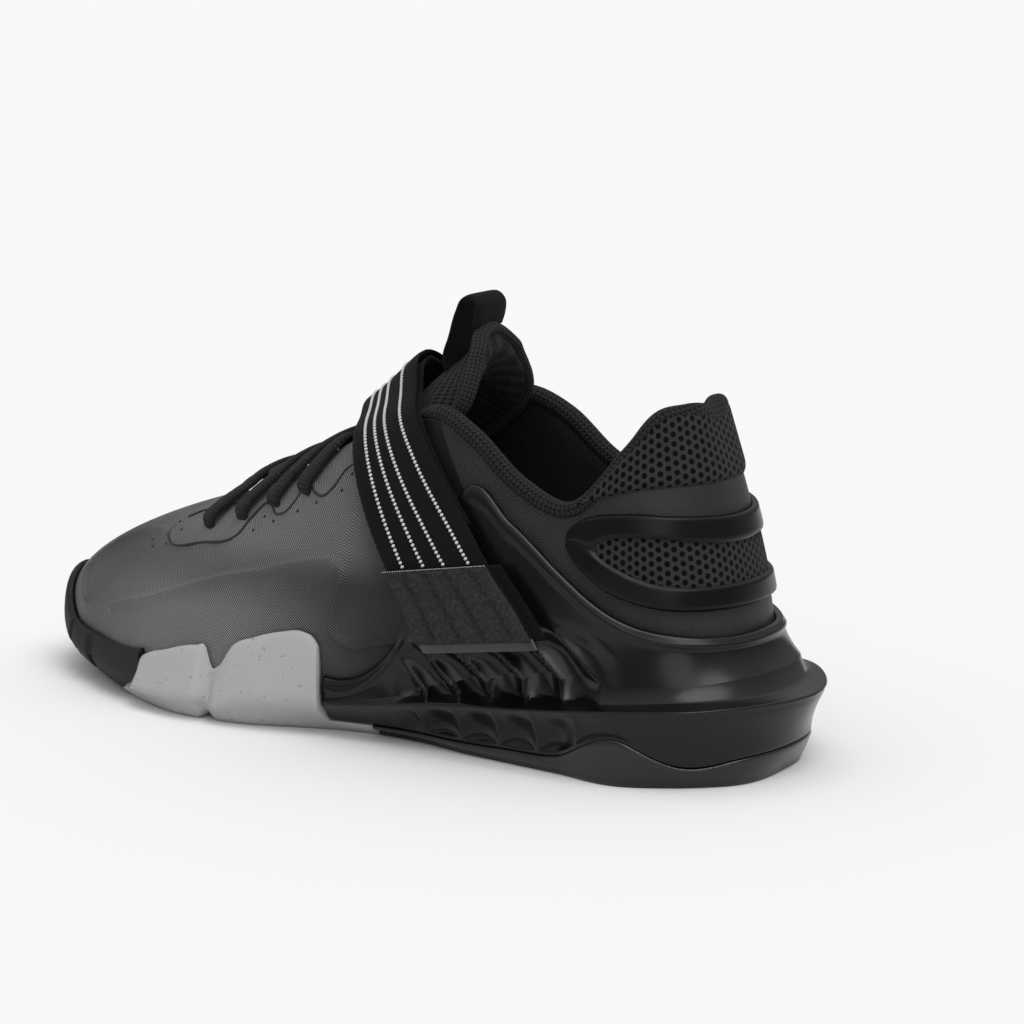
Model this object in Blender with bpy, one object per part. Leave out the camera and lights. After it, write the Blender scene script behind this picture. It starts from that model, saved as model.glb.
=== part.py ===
"""Left weightlifting shoe with a raised heel cage and an instep strap.

The frame has +X to the toe, +Y to the outer (little toe) side and +Z up. The floor is z = 0, and the
origin is the middle of the heel's flat rest. Every form comes from two tables of sections, LAST for
the upper and SOLE for the walls below it, whose rows run from the back of the heel to the toe.
"""

from collections import namedtuple
from math import cos, pi, radians, sin

import bmesh
import bpy
import numpy as np
from mathutils.kdtree import KDTree

# Driving dimensions, in metres
LENGTH = 0.300            # tip of the heel flare to the toe
BALL_WIDTH = 0.100        # feather line across the ball of the foot
ANKLE_HEIGHT = 0.100      # unit of the upper's heights: the collar in front of the ankle
HEEL_LIFT = 0.033         # footbed above the floor at the heel
FOREFOOT_LIFT = 0.010     # footbed above the floor at the ball
TOE_SPRING = 0.014        # rise of the underside at the toe
REST_FROM_BACK = 0.055    # tip of the heel flare to the middle of the heel's rest

# Walls and clearances
GAP = 0.0003              # clearance between pieces that touch
UPPER_WALL = 0.0022
COLLAR_PADDING = 0.0035   # added to the inside of the wall round the ankle
BAND_STEP = 0.0008        # eyestay, collar panel and binding stand proud of the upper
BAND_EDGE = 0.0010        # width of that step
PLATE_THICKNESS = 0.0042  # outsole and forefoot plate under the foot
CAGE_RIM = 0.0025         # thickness of the cage at its top edge
CAGE_TAPER = 0.0016       # height over which the rim is rounded
FLUTE_DEPTH = 0.0022
SCALLOP_DEPTH = 0.0014
WALL_RISE = .12           # the wall above the ridge starts at this share of the way to the rim
MOULD_SEAT = 0.0005       # between the upper and the clip or bumper
CLIP_EDGE = 0.0016        # forefoot clip at its crown
CLIP_BULGE = 0.0046       # forefoot clip at its ridge
CLIP_OVERLAP = 0.0030     # the clip rises at least this far over the footbed
BOARD_FOLLOW = .72        # how far the board's lower edge follows the foot of the wall inward
BOARD_INSET = 0.0012
FOOT_BEVEL = 0.0012       # bevel along the sole's lower edge
BUMPER_EDGE = 0.0018
BUMPER_OVERLAP = 0.0018   # the bumper rises at least this far over the upper's lower edge
BUMPER_LEAD = 0.040       # run over which the bumper's slanted ends turn upright
SLOT_WIDTH = 0.0032       # slots in the bumper's lower edge
SLOT_DEPTH = 0.0080
SLOT_HEIGHT = 0.0030
BUMPER_BULGE = 0.0042
INSOLE_THICKNESS = 0.0040
INSOLE_MARGIN = 0.0012    # between the insole and the inside of the upper
FRAME_THICKNESS = 0.0026  # moulded heel frame
FRAME_SEAT = 0.0005       # between the heel frame and the upper
STRAP_THICKNESS = 0.0016
STRAP_SEAT = 0.0007       # between the strap's lower layer and the upper
STRAP_LAYER_GAP = 0.0008  # between the two layers of the doubled strap
RING_WIRE = 0.0028        # thickness of the strap's ring
RING_CLEARANCE = 0.0006   # between the ring and the strap's fold
RING_MARGIN = 0.0024      # the ring's bars run past the strap's edges
RING_DEPTH = 0.0085       # between the ring's two long bars
RING_CORNER = 0.0016
KEEPER_WIDTH = 0.0220
KEEPER_THICKNESS = 0.0012
KEEPER_TAB = 0.0050
KEEPER_SEAT = 0.0006
LOOP_WIDTH = 0.0210       # pull loop
LOOP_THICKNESS = 0.0018
LACE_WIDTH = 0.0056
LACE_THICKNESS = 0.0018
LACE_SEAT = 0.0009        # between the laces and the eyestay

# Sections of the last, heel to toe. Lengths (x) are shares of LENGTH from the tip of the heel flare,
# widths of BALL_WIDTH, heights of ANKLE_HEIGHT. skew moves the inner side's section forward. The top
# is the edge of the collar and then of the throat. rise and lean set how the wall leaves the sole,
# reach and fall (degrees below level) how it meets the top edge. band is the width of the raised
# band under the top edge, and facets counts the facets up to the next row.
Last = namedtuple("Last", "name x outer inner skew top_x top_outer top_inner top_z "
                          "rise lean reach fall band facets")
LAST = [
    Last("heel_back", .067, .000, .000, .000, .129, .000, .000, 1.105, .18, .00, .32, 70, .215, 2),
    Last("heel_turn", .080, .170, .165, .000, .134, .105, .105, 1.120, .18, .01, .30, 73, .225, 2),
    Last("heel_corner", .110, .265, .260, .000, .150, .190, .185, 1.110, .18, .04, .26, 77, .220, 2),
    Last("heel_side", .167, .315, .315, .000, .177, .265, .265, 1.000, .18, .07, .20, 80, .140, 3),
    Last("collar_dip", .233, .325, .330, .000, .232, .310, .310, .825, .18, .08, .15, 82, .045, 4),
    Last("collar_rise", .300, .320, .335, .000, .295, .312, .312, .880, .20, .09, .18, 82, .060, 4),
    Last("ankle", .360, .320, .345, .000, .350, .300, .312, 1.010, .25, .10, .24, 78, .060, 4),
    Last("collar_peak", .417, .320, .370, .000, .398, .255, .290, 1.075, .30, .11, .28, 64, .070, 3),
    Last("throat_top", .475, .330, .410, .000, .443, .200, .245, 1.050, .33, .11, .30, 50, .120, 2),
    Last("cage_end", .525, .345, .450, .000, .485, .175, .225, 1.000, .33, .10, .30, 44, .130, 2),
    Last("instep", .560, .357, .490, .003, .515, .155, .215, .955, .32, .09, .28, 40, .130, 3),
    Last("throat_mid", .635, .380, .565, .010, .580, .125, .195, .855, .30, .07, .25, 36, .130, 3),
    Last("ball", .710, .373, .612, .028, .650, .085, .170, .755, .27, .05, .24, 31, .130, 3),
    Last("throat_end", .785, .310, .575, .050, .708, .040, .130, .690, .23, .04, .27, 26, .130, 3),
    Last("toe_side", .865, .195, .485, .060, .736, .000, .095, .668, .19, .04, .32, 21, .130, 3),
    Last("toe_turn", .935, .060, .370, .030, .746, -.030, .070, .662, .16, .04, .37, 18, .130, 3),
    Last("toe", .988, -.190, .190, .000, .750, -.050, .050, .660, .14, .04, .41, 17, .130, 0),
]

# Walls of the sole at the same sections. Offsets out from the feather line are shares of BALL_WIDTH:
# foot at the floor, ridge at the flare, wall just above it. part (top of the outsole) and ridge_z are
# shares of HEEL_LIFT, and rim (top of the cage, clip or bumper) is a share of ANKLE_HEIGHT.
Sole = namedtuple("Sole", "name foot_outer foot_inner part ridge ridge_z wall rim")
SOLE = [
    Sole("heel_back", .075, .075, .30, .185, .79, .080, .440),
    Sole("heel_turn", .090, .090, .28, .160, .79, .080, .440),
    Sole("heel_corner", .080, .080, .21, .165, .78, .082, .450),
    Sole("heel_side", .112, .100, .46, .142, .72, .080, .490),
    Sole("collar_dip", .065, .060, .20, .128, .65, .080, .610),
    Sole("collar_rise", .040, .030, .16, .110, .58, .076, .750),
    Sole("ankle", .012, -.010, .14, .092, .53, .070, .840),
    Sole("collar_peak", -.032, -.060, .14, .090, .47, .070, .420),
    Sole("throat_top", -.058, -.100, .14, .068, .40, .062, .225),
    Sole("cage_end", -.058, -.110, .14, .055, .36, .052, .200),
    Sole("instep", -.040, -.090, .14, .040, .36, .045, .270),
    Sole("throat_mid", .004, -.020, .14, .040, .36, .045, .270),
    Sole("ball", .012, .010, .14, .040, .36, .045, .250),
    Sole("throat_end", .004, .010, .14, .040, .36, .045, .185),
    Sole("toe_side", .006, .010, .14, .040, .36, .045, .180),
    Sole("toe_turn", .020, .020, .14, .040, .36, .045, .205),
    Sole("toe", .030, .030, .14, .040, .36, .045, .330),
]

# Forefoot clip: stations along its crown, with the station of each on the floor. x shares of LENGTH,
# heights of ANKLE_HEIGHT.
Crown = namedtuple("Crown", "foot_x crown_x outer_z inner_z")
CLIP = [
    Crown(.476, .476, .042, .042),
    Crown(.500, .500, .042, .042),
    Crown(.5272, .5272, .042, .042),
    Crown(.5300, .5290, .300, .250),
    Crown(.552, .546, .338, .285),
    Crown(.580, .575, .330, .285),
    Crown(.612, .610, .300, .270),
    Crown(.638, .637, .262, .250),
    Crown(.660, .655, .185, .240),
    Crown(.668, .6655, .185, .235),
    Crown(.678, .673, .245, .230),
    Crown(.708, .704, .235, .220),
    Crown(.750, .732, .210, .200),
    Crown(.788, .754, .192, .184),
    Crown(.8200, .7700, .172, .168),
]
CAGE_STEP = .05           # the cage ends within this share of its last span
CLIP_RIDGE = .40          # height of the clip's soft ridge, as a share of its crown
JOINT = .0014             # clip and bumper stand this share of LENGTH apart
CLIP_TAIL = 3             # stations of the thin tail under the cage

BUMPER_RIDGE = .45
SLOTS = [.882, .925]      # stations of the slots on each side

# Heel frame: stations along each side from the middle of the back. x shares of LENGTH on the feather
# line, heights of ANKLE_HEIGHT.
FrameRow = namedtuple("FrameRow", "x top window_top window_bottom bottom")
HEEL_FRAME = [
    FrameRow(.067, .800, .715, .600, .525),
    FrameRow(.080, .805, .722, .600, .525),
    FrameRow(.110, .812, .738, .603, .528),
    FrameRow(.150, .818, .745, .625, .545),
    FrameRow(.185, .812, .735, .668, .580),
    FrameRow(.205, .803, .708, .706, .618),
    FrameRow(.222, .785, .726, .720, .655),
    FrameRow(.240, .745, .728, .722, .712),
]

WINDOW_TIP = .200         # the frame's window ends here

# Tongue, toe end to top: middle line, half width, drop of its edges, and thickness. x shares of
# LENGTH, widths of BALL_WIDTH, heights and thickness of ANKLE_HEIGHT.
TongueRow = namedtuple("TongueRow", "x y z half drop back thick")
TONGUE = [
    TongueRow(.752, -.05, .612, .110, .030, .00, .030),
    TongueRow(.700, -.05, .664, .170, .060, .00, .036),
    TongueRow(.640, -.05, .738, .215, .105, .00, .040),
    TongueRow(.580, -.04, .835, .235, .140, .00, .042),
    TongueRow(.520, -.04, .930, .245, .170, .01, .046),
    TongueRow(.475, -.03, 1.045, .250, .180, .03, .056),
    TongueRow(.445, -.03, 1.140, .240, .180, .04, .066),
    TongueRow(.422, -.03, 1.215, .220, .160, .05, .074),
    TongueRow(.409, -.03, 1.265, .185, .125, .05, .070),
    TongueRow(.402, -.03, 1.305, .110, .060, .03, .056),
]
TONGUE_ACROSS = 8

# Strap's outer layer, outer end to the ring on the inner side: front edge and rear edge. x shares of
# LENGTH, y of BALL_WIDTH, z of ANKLE_HEIGHT.
StrapRow = namedtuple("StrapRow", "front_x front_y front_z rear_x rear_y rear_z")
STRAP = [
    StrapRow(.386, .455, .370, .246, .470, .430),
    StrapRow(.404, .452, .470, .270, .463, .530),
    StrapRow(.424, .443, .560, .299, .452, .620),
    StrapRow(.453, .425, .705, .335, .428, .765),
    StrapRow(.475, .390, .820, .368, .390, .870),
    StrapRow(.496, .325, .915, .398, .345, .975),
    StrapRow(.515, .230, .975, .425, .280, 1.055),
    StrapRow(.532, .110, 1.000, .448, .170, 1.128),
    StrapRow(.542, -.030, .995, .463, .010, 1.172),
    StrapRow(.539, -.170, .970, .462, -.150, 1.143),
    StrapRow(.533, -.240, .953, .456, -.222, 1.117),
    StrapRow(.525, -.300, .905, .449, -.280, 1.060),
    StrapRow(.510, -.385, .850, .430, -.355, .980),
    StrapRow(.494, -.425, .780, .402, -.395, .900),
]
STRAP_ACROSS = 3
STRAIGHT_ROWS = 2         # rows at the ring that stay straight across
THROAT_SIDE = .985        # share of the upper's section above which a point is over the throat
UNDERLAY_START = 3        # row where the strap's inner layer begins
KEEPER_END = .620         # lower end of the keeper, share of ANKLE_HEIGHT
PATCH_ROWS = 3            # rows covered by the end patch
PATCH_THICKNESS = 0.0016
PILE_THICKNESS = 0.0008
PILE_SHIFT = 0.0035       # the pile strip shows past the strap's rear edge

# Pull loop, sewn end in front of the tongue to sewn end behind it, from the tongue's top edge, metres
LoopPoint = namedtuple("LoopPoint", "ahead above")
LOOP = [
    LoopPoint(.0122, -.0138),
    LoopPoint(.0132, -.0100),
    LoopPoint(.0108, -.0030),
    LoopPoint(.0070, .0050),
    LoopPoint(.0042, .0090),
    LoopPoint(.0012, .0100),
    LoopPoint(-.0012, .0080),
    LoopPoint(-.0012, .0040),
    LoopPoint(.0000, .0004),
]

# Laces: eyelet stations along the throat, as shares of LENGTH on the top edge
EYELETS = [.690, .642, .596, .553]
LACE_CROWN = 0.0016       # rise of a crossing over the tongue
EYELET_INSET = .160       # eyelet below the throat's edge, share of ANKLE_HEIGHT


def spread(values, keys, wanted, period=None):
    """Cubic curve through the table's values at its keys, read at the wanted keys."""
    values = np.asarray(values, float)
    keys = np.asarray(keys, float)
    if period:
        keys = np.concatenate((keys[-2:] - period, keys, keys[:3] + period))
        values = np.concatenate((values[-2:], values, values[:3]))
    gaps = np.diff(keys)
    chords = (np.diff(values, axis=0).T / gaps).T
    slopes = np.empty_like(values)
    slopes[0] = chords[0]
    slopes[-1] = chords[-1]
    left, right = gaps[:-1], gaps[1:]
    slopes[1:-1] = ((chords[:-1].T * right + chords[1:].T * left) / (left + right)).T
    wanted = np.atleast_1d(np.asarray(wanted, float))
    if period:
        wanted = np.mod(wanted, period)
    k = np.clip(np.searchsorted(keys, wanted, side="right") - 1, 0, len(keys) - 2)
    h = keys[k + 1] - keys[k]
    t = (wanted - keys[k]) / h
    a = 2 * t ** 3 - 3 * t ** 2 + 1
    b = (t ** 3 - 2 * t ** 2 + t) * h
    c = 1 - a
    d = (t ** 3 - t ** 2) * h
    return (values[k].T * a + slopes[k].T * b + values[k + 1].T * c + slopes[k + 1].T * d).T


def around(outer, inner):
    """Rows of both sides in one ring: heel back, outer side, toe, inner side."""
    return outer + inner[-2:0:-1]


def x_at(share):
    return share * LENGTH - REST_FROM_BACK


FEATHER = around([(x_at(r.x), r.outer * BALL_WIDTH) for r in LAST],
                 [(x_at(r.x + r.skew), -r.inner * BALL_WIDTH) for r in LAST])
STEPS = [np.hypot(b[0] - a[0], b[1] - a[1]) for a, b in zip(FEATHER, FEATHER[1:] + FEATHER[:1])]
KEYS = np.concatenate(([0.0], np.cumsum(STEPS)[:-1]))
ROUND = float(sum(STEPS))
TOE_ROW = len(LAST) - 1

TOP = around([(x_at(r.top_x), r.top_outer * BALL_WIDTH, r.top_z * ANKLE_HEIGHT) for r in LAST],
             [(x_at(r.top_x), -r.top_inner * BALL_WIDTH, r.top_z * ANKLE_HEIGHT) for r in LAST])
HANDLES = around(*[[(r.rise * ANKLE_HEIGHT, r.lean * BALL_WIDTH, r.reach * ANKLE_HEIGHT,
                     radians(r.fall), r.band * ANKLE_HEIGHT) for r in LAST]] * 2)
WALLS = around(*[[(foot(r) * BALL_WIDTH, r.part * HEEL_LIFT, r.ridge * BALL_WIDTH,
                   r.ridge_z * HEEL_LIFT, r.wall * BALL_WIDTH, r.rim * ANKLE_HEIGHT) for r in SOLE]
                 for foot in (lambda r: r.foot_outer, lambda r: r.foot_inner)])


def footbed(x):
    """Height of the footbed along the shoe: heel wedge, flat ball and toe spring."""
    share = (np.asarray(x) + REST_FROM_BACK) / LENGTH
    ramp = np.clip((share - .19) / (.62 - .19), 0, 1)
    wedge = 1 - ramp * ramp * (3 - 2 * ramp)
    return FOREFOOT_LIFT + (HEEL_LIFT - FOREFOOT_LIFT) * wedge + underside(x)


def underside(x):
    """Height of the sole's underside: on the floor up to the ball, then the toe spring."""
    share = (np.asarray(x) + REST_FROM_BACK) / LENGTH
    return TOE_SPRING * (np.clip(share - .71, 0, 1) / .29) ** 2


def feather(u):
    """Point on the feather line and its outward normal, seen from above."""
    point = spread(FEATHER, KEYS, u, ROUND)
    step = ROUND / 4000
    ahead = spread(FEATHER, KEYS, np.asarray(u) + step, ROUND)
    behind = spread(FEATHER, KEYS, np.asarray(u) - step, ROUND)
    run = ahead - behind
    normal = np.stack((-run[:, 1], run[:, 0]), 1)
    return point, normal / np.linalg.norm(normal, axis=1, keepdims=True)


def station(x_share, side):
    """Distance round the feather line where the outer (+1) or inner (-1) side has this length."""
    return float(np.interp(x_at(x_share), *SIDE_MAPS[side]))


def side_map(side):
    half = KEYS[TOE_ROW]
    u = np.linspace(0, half, 400) if side > 0 else np.linspace(ROUND, half, 400)
    x = np.maximum.accumulate(spread(FEATHER, KEYS, u, ROUND)[:, 0])
    return x + np.arange(400) * 1e-9, u


SIDE_MAPS = {1: side_map(1), -1: side_map(-1)}


def section(u):
    """The four control points of the upper's wall at u, from the footbed to the top edge."""
    u = np.atleast_1d(u)
    base, out = feather(u)
    top = spread(TOP, KEYS, u, ROUND)
    rise, lean, reach, fall, _ = spread(HANDLES, KEYS, u, ROUND).T
    p0 = np.column_stack((base, footbed(base[:, 0]) + GAP))
    p1 = p0 + np.column_stack((out * lean[:, None], rise))
    away = base - top[:, :2]
    flat = np.linalg.norm(away, axis=1, keepdims=True)
    blend = np.clip(flat / (0.25 * BALL_WIDTH), 0, 1)
    away = out * (1 - blend) + away / np.maximum(flat, 1e-9) * blend
    away /= np.linalg.norm(away, axis=1, keepdims=True)
    p2 = top + np.column_stack((away * (reach * np.cos(fall))[:, None], -reach * np.sin(fall)))
    return p0, p1, p2, top


def last_point(u, v):
    """Point on the last's outer surface; u is a distance round the shoe, v runs 0 to 1 upward."""
    p0, p1, p2, p3 = section(u)
    v = np.atleast_1d(v)[:, None]
    w = 1 - v
    return w ** 3 * p0 + 3 * w * w * v * p1 + 3 * w * v * v * p2 + v ** 3 * p3


def last_normal(u, v):
    u, v = np.broadcast_arrays(np.atleast_1d(u).astype(float), np.atleast_1d(v).astype(float))
    du, dv = ROUND / 3000, 1 / 1000
    low, high = np.clip(v - dv, 0, 1), np.clip(v + dv, 0, 1)
    along = last_point(u + du, v) - last_point(u - du, v)
    upward = last_point(u, high) - last_point(u, low)
    normal = np.cross(upward, along)
    return normal / np.linalg.norm(normal, axis=1, keepdims=True)


def lifted(u, v, lift):
    """Point at a distance from the last's surface."""
    u, v, lift = np.broadcast_arrays(*[np.atleast_1d(a).astype(float) for a in (u, v, lift)])
    return last_point(u, v) + last_normal(u, v) * lift[:, None]


def height_share(u, z):
    """v at which the section at u reaches the height z."""
    v = np.linspace(0, 1, 201)
    heights = last_point(np.full(201, u), v)[:, 2]
    return float(np.interp(z, np.maximum.accumulate(heights) + np.arange(201) * 1e-9, v))


def below_edge(u, distance):
    """v at a distance down the section from the top edge."""
    v = np.linspace(1, 0, 201)
    points = last_point(np.full(201, u), v)
    run = np.concatenate(([0], np.cumsum(np.linalg.norm(np.diff(points, axis=0), axis=1))))
    return float(np.interp(distance, run, v))


CAGE_ROW = [r.name for r in LAST].index("cage_end")
CAGE_COLUMN = sum(r.facets for r in LAST[:CAGE_ROW])


def ring_columns():
    """Stations of the facets: outer side from the heel back to the toe, then the inner side."""
    shares = []
    for row, (a, b) in enumerate(zip(LAST, LAST[1:])):
        shares += [row + k / a.facets for k in range(a.facets)]
    shares.insert(CAGE_COLUMN + 1, CAGE_ROW + CAGE_STEP)
    keys = np.concatenate((KEYS, [ROUND]))
    outer = np.interp(shares + [TOE_ROW], range(len(keys)), keys)
    inner = np.interp([len(keys) - 1 - s for s in shares[1:]], range(len(keys)), keys)
    return np.concatenate((outer, inner[::-1]))


COLUMNS = ring_columns()
COUNT = len(COLUMNS)
HALF = COUNT // 2
WALL_AT = spread(WALLS, KEYS, COLUMNS, ROUND)
BASE_AT, OUT_AT = feather(COLUMNS)
RIM_V = [height_share(u, w[5]) for u, w in zip(COLUMNS, WALL_AT)]


def close_mesh(name, points, faces):
    """Object from points and faces, with coincident points merged and the faces turned outward."""
    mesh = bpy.data.meshes.new(name)
    mesh.from_pydata([tuple(map(float, p)) for p in points], [], faces)
    shape = bmesh.new()
    shape.from_mesh(mesh)
    bmesh.ops.remove_doubles(shape, verts=shape.verts, dist=2e-6)
    bmesh.ops.dissolve_degenerate(shape, edges=shape.edges, dist=2e-6)
    bmesh.ops.recalc_face_normals(shape, faces=shape.faces)
    bmesh.ops.triangulate(shape, faces=shape.faces)
    shape.to_mesh(mesh)
    shape.free()
    body = bpy.data.objects.new(name, mesh)
    bpy.context.collection.objects.link(body)
    return body


class Shell:
    """Collects grids of points and the faces between them."""

    def __init__(self):
        self.points = []
        self.faces = []

    def row(self, points):
        start = len(self.points)
        self.points.extend(points)
        return list(range(start, len(self.points)))

    def band(self, a, b, closed=False):
        """Faces between two rows of the same length."""
        n = len(a)
        for i in range(n if closed else n - 1):
            j = (i + 1) % n
            self.faces.append((a[i], a[j], b[j], b[i]))

    def body(self, name):
        return close_mesh(name, self.points, self.faces)


def loft(name, profiles, ring=False):
    """Solid through profiles of equal length. Each profile is an open line whose two ends are
    joined across to the paired profile (ring) or, for a tube, a closed line with capped ends."""
    shell = Shell()
    rows = [shell.row(p) for p in profiles]
    for a, b in zip(rows, rows[1:]):
        shell.band(a, b, closed=not ring)
    if ring:
        cap_ring(shell, rows)
    else:
        shell.faces.append(tuple(rows[0][::-1]))
        shell.faces.append(tuple(rows[-1]))
    return shell.body(name)


def cap_ring(shell, rows):
    """Join both ends of profiles that run round the shoe to the profile across from each."""
    n = len(rows)
    for end in (0, -1):
        for i in range(n // 2):
            j = n - 1 - i
            if i + 1 < j:
                a, b, c, d = rows[i][end], rows[i + 1][end], rows[j - 1][end], rows[j][end]
                shell.faces.append((a, b, c, d) if b != c else (a, b, d))
    if rows[0] != rows[-1]:
        shell.faces.append(tuple(rows[0]) + tuple(rows[-1][::-1]))


def paint(body, name, color, rough, metal=0.0):
    """Give the object a plain material of its own."""
    material = bpy.data.materials.new(name)
    material.use_nodes = True
    shader = material.node_tree.nodes["Principled BSDF"]
    shader.inputs["Base Color"].default_value = (*color, 1.0)
    shader.inputs["Roughness"].default_value = rough
    shader.inputs["Metallic"].default_value = metal
    body.data.materials.append(material)
    return body


def cut(body, cutters):
    """Subtract closed cutters, which stay as hidden helpers."""
    for cutter in cutters:
        cutter.hide_render = True
        cutter.display_type = "WIRE"
        boolean = body.modifiers.new("cut", "BOOLEAN")
        boolean.operation = "DIFFERENCE"
        boolean.solver = "EXACT"
        boolean.object = cutter
    return body


def box(name, low, high):
    xs, ys, zs = zip(low, high)
    points = [(x, y, z) for x in xs for y in ys for z in zs]
    faces = [(0, 1, 3, 2), (4, 6, 7, 5), (0, 4, 5, 1), (2, 3, 7, 6), (0, 2, 6, 4), (1, 5, 7, 3)]
    return close_mesh(name, points, faces)


def upper_rows(u, rim_v, band):
    """v and step of each facet row of the upper, from the footbed up."""
    edge = below_edge(u, band)
    step = below_edge(u, band + BAND_EDGE)
    low = min(rim_v, step * .9)
    span = step - low
    return [(0, 0), (low * .5, 0), (low, 0), (low + span * .38, 0), (low + span * .72, 0),
            (step, 0), (edge, 1), ((edge + 1) / 2, 1), (1, .4)]


def padding(u):
    """Share of the collar padding at u: full round the ankle, none along the throat."""
    tongue_end = station(LAST[8].x, 1), station(LAST[8].x, -1)
    full = station(LAST[6].x, 1), station(LAST[6].x, -1)
    distance = min(u, ROUND - u)
    far, near = (tongue_end[0], full[0]) if u < ROUND / 2 else (ROUND - tongue_end[1], ROUND - full[1])
    return float(np.clip((far - distance) / (far - near), 0, 1))


BANDS = spread(HANDLES, KEYS, COLUMNS, ROUND)[:, 4]
CLOUD_U, CLOUD_V = (a.ravel() for a in np.meshgrid(np.linspace(0, ROUND, 260, endpoint=False),
                                                   np.linspace(0, 1, 50)))
CLOUD = lifted(CLOUD_U, CLOUD_V, BAND_STEP)
CLOUD_NORMALS = last_normal(CLOUD_U, CLOUD_V)
TREE = KDTree(len(CLOUD))
for number, sample in enumerate(CLOUD):
    TREE.insert(sample, number)
TREE.balance()
UPPER_ROWS = [upper_rows(u, v, band) for u, v, band in zip(COLUMNS, RIM_V, BANDS)]
LOW_V = [rows[2][0] for rows in UPPER_ROWS]


def on_facets(i, z, lift):
    """Point at height z on the upper's facets at column i, lifted off them."""
    v = [row[0] for row in UPPER_ROWS[i]]
    surface = last_point(np.full(len(v), COLUMNS[i]), v)
    normal = last_normal(COLUMNS[i], v)
    heights = np.maximum.accumulate(surface[:, 2]) + np.arange(len(v)) * 1e-9
    point = np.array([np.interp(z, heights, surface[:, k]) for k in range(3)])
    away = np.array([np.interp(z, heights, normal[:, k]) for k in range(3)])
    return point + away / np.linalg.norm(away) * lift


def build_upper():
    """One hollow wall, open at the collar, along the throat and underneath."""
    shell = Shell()
    outer, inner = [], []
    for u, rows in zip(COLUMNS, UPPER_ROWS):
        v = [r[0] for r in rows]
        lift = [r[1] * BAND_STEP for r in rows]
        pad = padding(u)
        depth = [UPPER_WALL + COLLAR_PADDING * pad * bulge
                 for bulge in (0, 0, .2, .5, .9, 1, 1, 1, .5)]
        outer.append(shell.row(lifted(u, v, lift)))
        inner.append(shell.row(lifted(u, v, [-d for d in depth])))
    for i in range(COUNT):
        j = (i + 1) % COUNT
        shell.band(outer[i], outer[j])
        shell.band(inner[j], inner[i])
        for end in (0, -1):
            shell.faces.append((outer[i][end], outer[j][end], inner[j][end], inner[i][end]))
    return shell.body("upper")


def side_point(i, z, out):
    """Point of the sole's wall at column i."""
    return (*(BASE_AT[i] + OUT_AT[i] * out), z)


def fluting(i):
    """+1 on a flute's crest, -1 in its trough and 0 away from the fluted stretch."""
    row_start = sum(r.facets for r in LAST[:4])
    row_end = sum(r.facets for r in LAST[:7])
    k = i if i <= HALF else COUNT - i
    if row_start <= k < row_end:
        return 1 if (k - row_start) % 2 else -1
    return 0


def wall_profile(i):
    """Outer wall of the midsole at column i, from the parting line up to the rim."""
    foot, part, ridge, ridge_z, wall, rim_z = WALL_AT[i]
    low = part + GAP
    part_out = foot + (ridge - foot) * low / ridge_z
    scallop = SCALLOP_DEPTH * (1 + .6 * fluting(i)) * (1 if fluting(i) else .5)
    under = .5 * (part_out + ridge) - scallop
    rim_in = lifted(COLUMNS[i], LOW_V[i], GAP)[0]
    rim_out = lifted(COLUMNS[i], LOW_V[i], GAP + CAGE_RIM)[0]
    above = ridge_z + WALL_RISE * (rim_out[2] - ridge_z)
    points = [side_point(i, low, part_out), side_point(i, (low + ridge_z) / 2, under),
              side_point(i, ridge_z - .0008, ridge), side_point(i, ridge_z + .0008, ridge)]
    points.append(side_point(i, above + .0008, wall))
    start = height_share(COLUMNS[i], above)
    thick = wall - (lifted(COLUMNS[i], start, 0)[0][:2] - BASE_AT[i]) @ OUT_AT[i]
    for share, flute in ((.36, 1), (.70, .8)):
        lift = thick + (GAP + CAGE_RIM - thick) * share + FLUTE_DEPTH / 2 * fluting(i) * flute
        v = start + (LOW_V[i] - start) * share
        points.append(tuple(lifted(COLUMNS[i], v, max(lift, GAP + CAGE_RIM / 2))[0]))
    round_off = np.array(rim_out) - (0, 0, CAGE_TAPER * .5)
    points += [tuple(round_off), tuple(rim_in + .45 * (rim_out - rim_in) + (0, 0, CAGE_TAPER * .3)),
               tuple(rim_in)]
    return points


def build_midsole():
    """Heel wedge with its flare and cage, and the thin board that runs on under the forefoot."""
    profiles = []
    for i in range(COUNT):
        k = i if i <= HALF else COUNT - i
        x = BASE_AT[i][0]
        bottom = underside(x) + PLATE_THICKNESS + GAP
        seat = lifted(COLUMNS[i], 0, GAP if k <= CAGE_COLUMN else 0)[0]
        seat[2] = footbed(x)
        if k <= CAGE_COLUMN:
            outer = wall_profile(i)
            shoulder = side_point(i, bottom, board_out(WALL_AT[i][0]) + MOULD_SEAT)
            inside = lifted(COLUMNS[i], LOW_V[i] * .5, GAP)[0]
            profiles.append([shoulder] + outer + [inside, seat])
        else:
            edge = side_point(i, bottom, board_out(WALL_AT[i][0]))
            shoulder = side_point(i, bottom, board_out(WALL_AT[i][0]) - BOARD_INSET)
            profiles.append([shoulder, edge] + [seat] * 11)
    shell = Shell()
    rows = [shell.row(p) for p in profiles]
    for i in range(COUNT):
        shell.band(rows[i], rows[(i + 1) % COUNT])
    for end in (0, -1):
        for i in range(HALF):
            a, b = rows[i][end], rows[i + 1][end]
            c, d = rows[(COUNT - i - 1) % COUNT][end], rows[(COUNT - i) % COUNT][end]
            face = [a, b, c, d]
            shell.faces.append(tuple(dict.fromkeys(face)))
    return shell.body("midsole")


def column_run(first, last):
    """Column numbers from the inner side round the heel to the outer side (or round the toe)."""
    return [k % COUNT for k in range(first, last + 1)]


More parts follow.
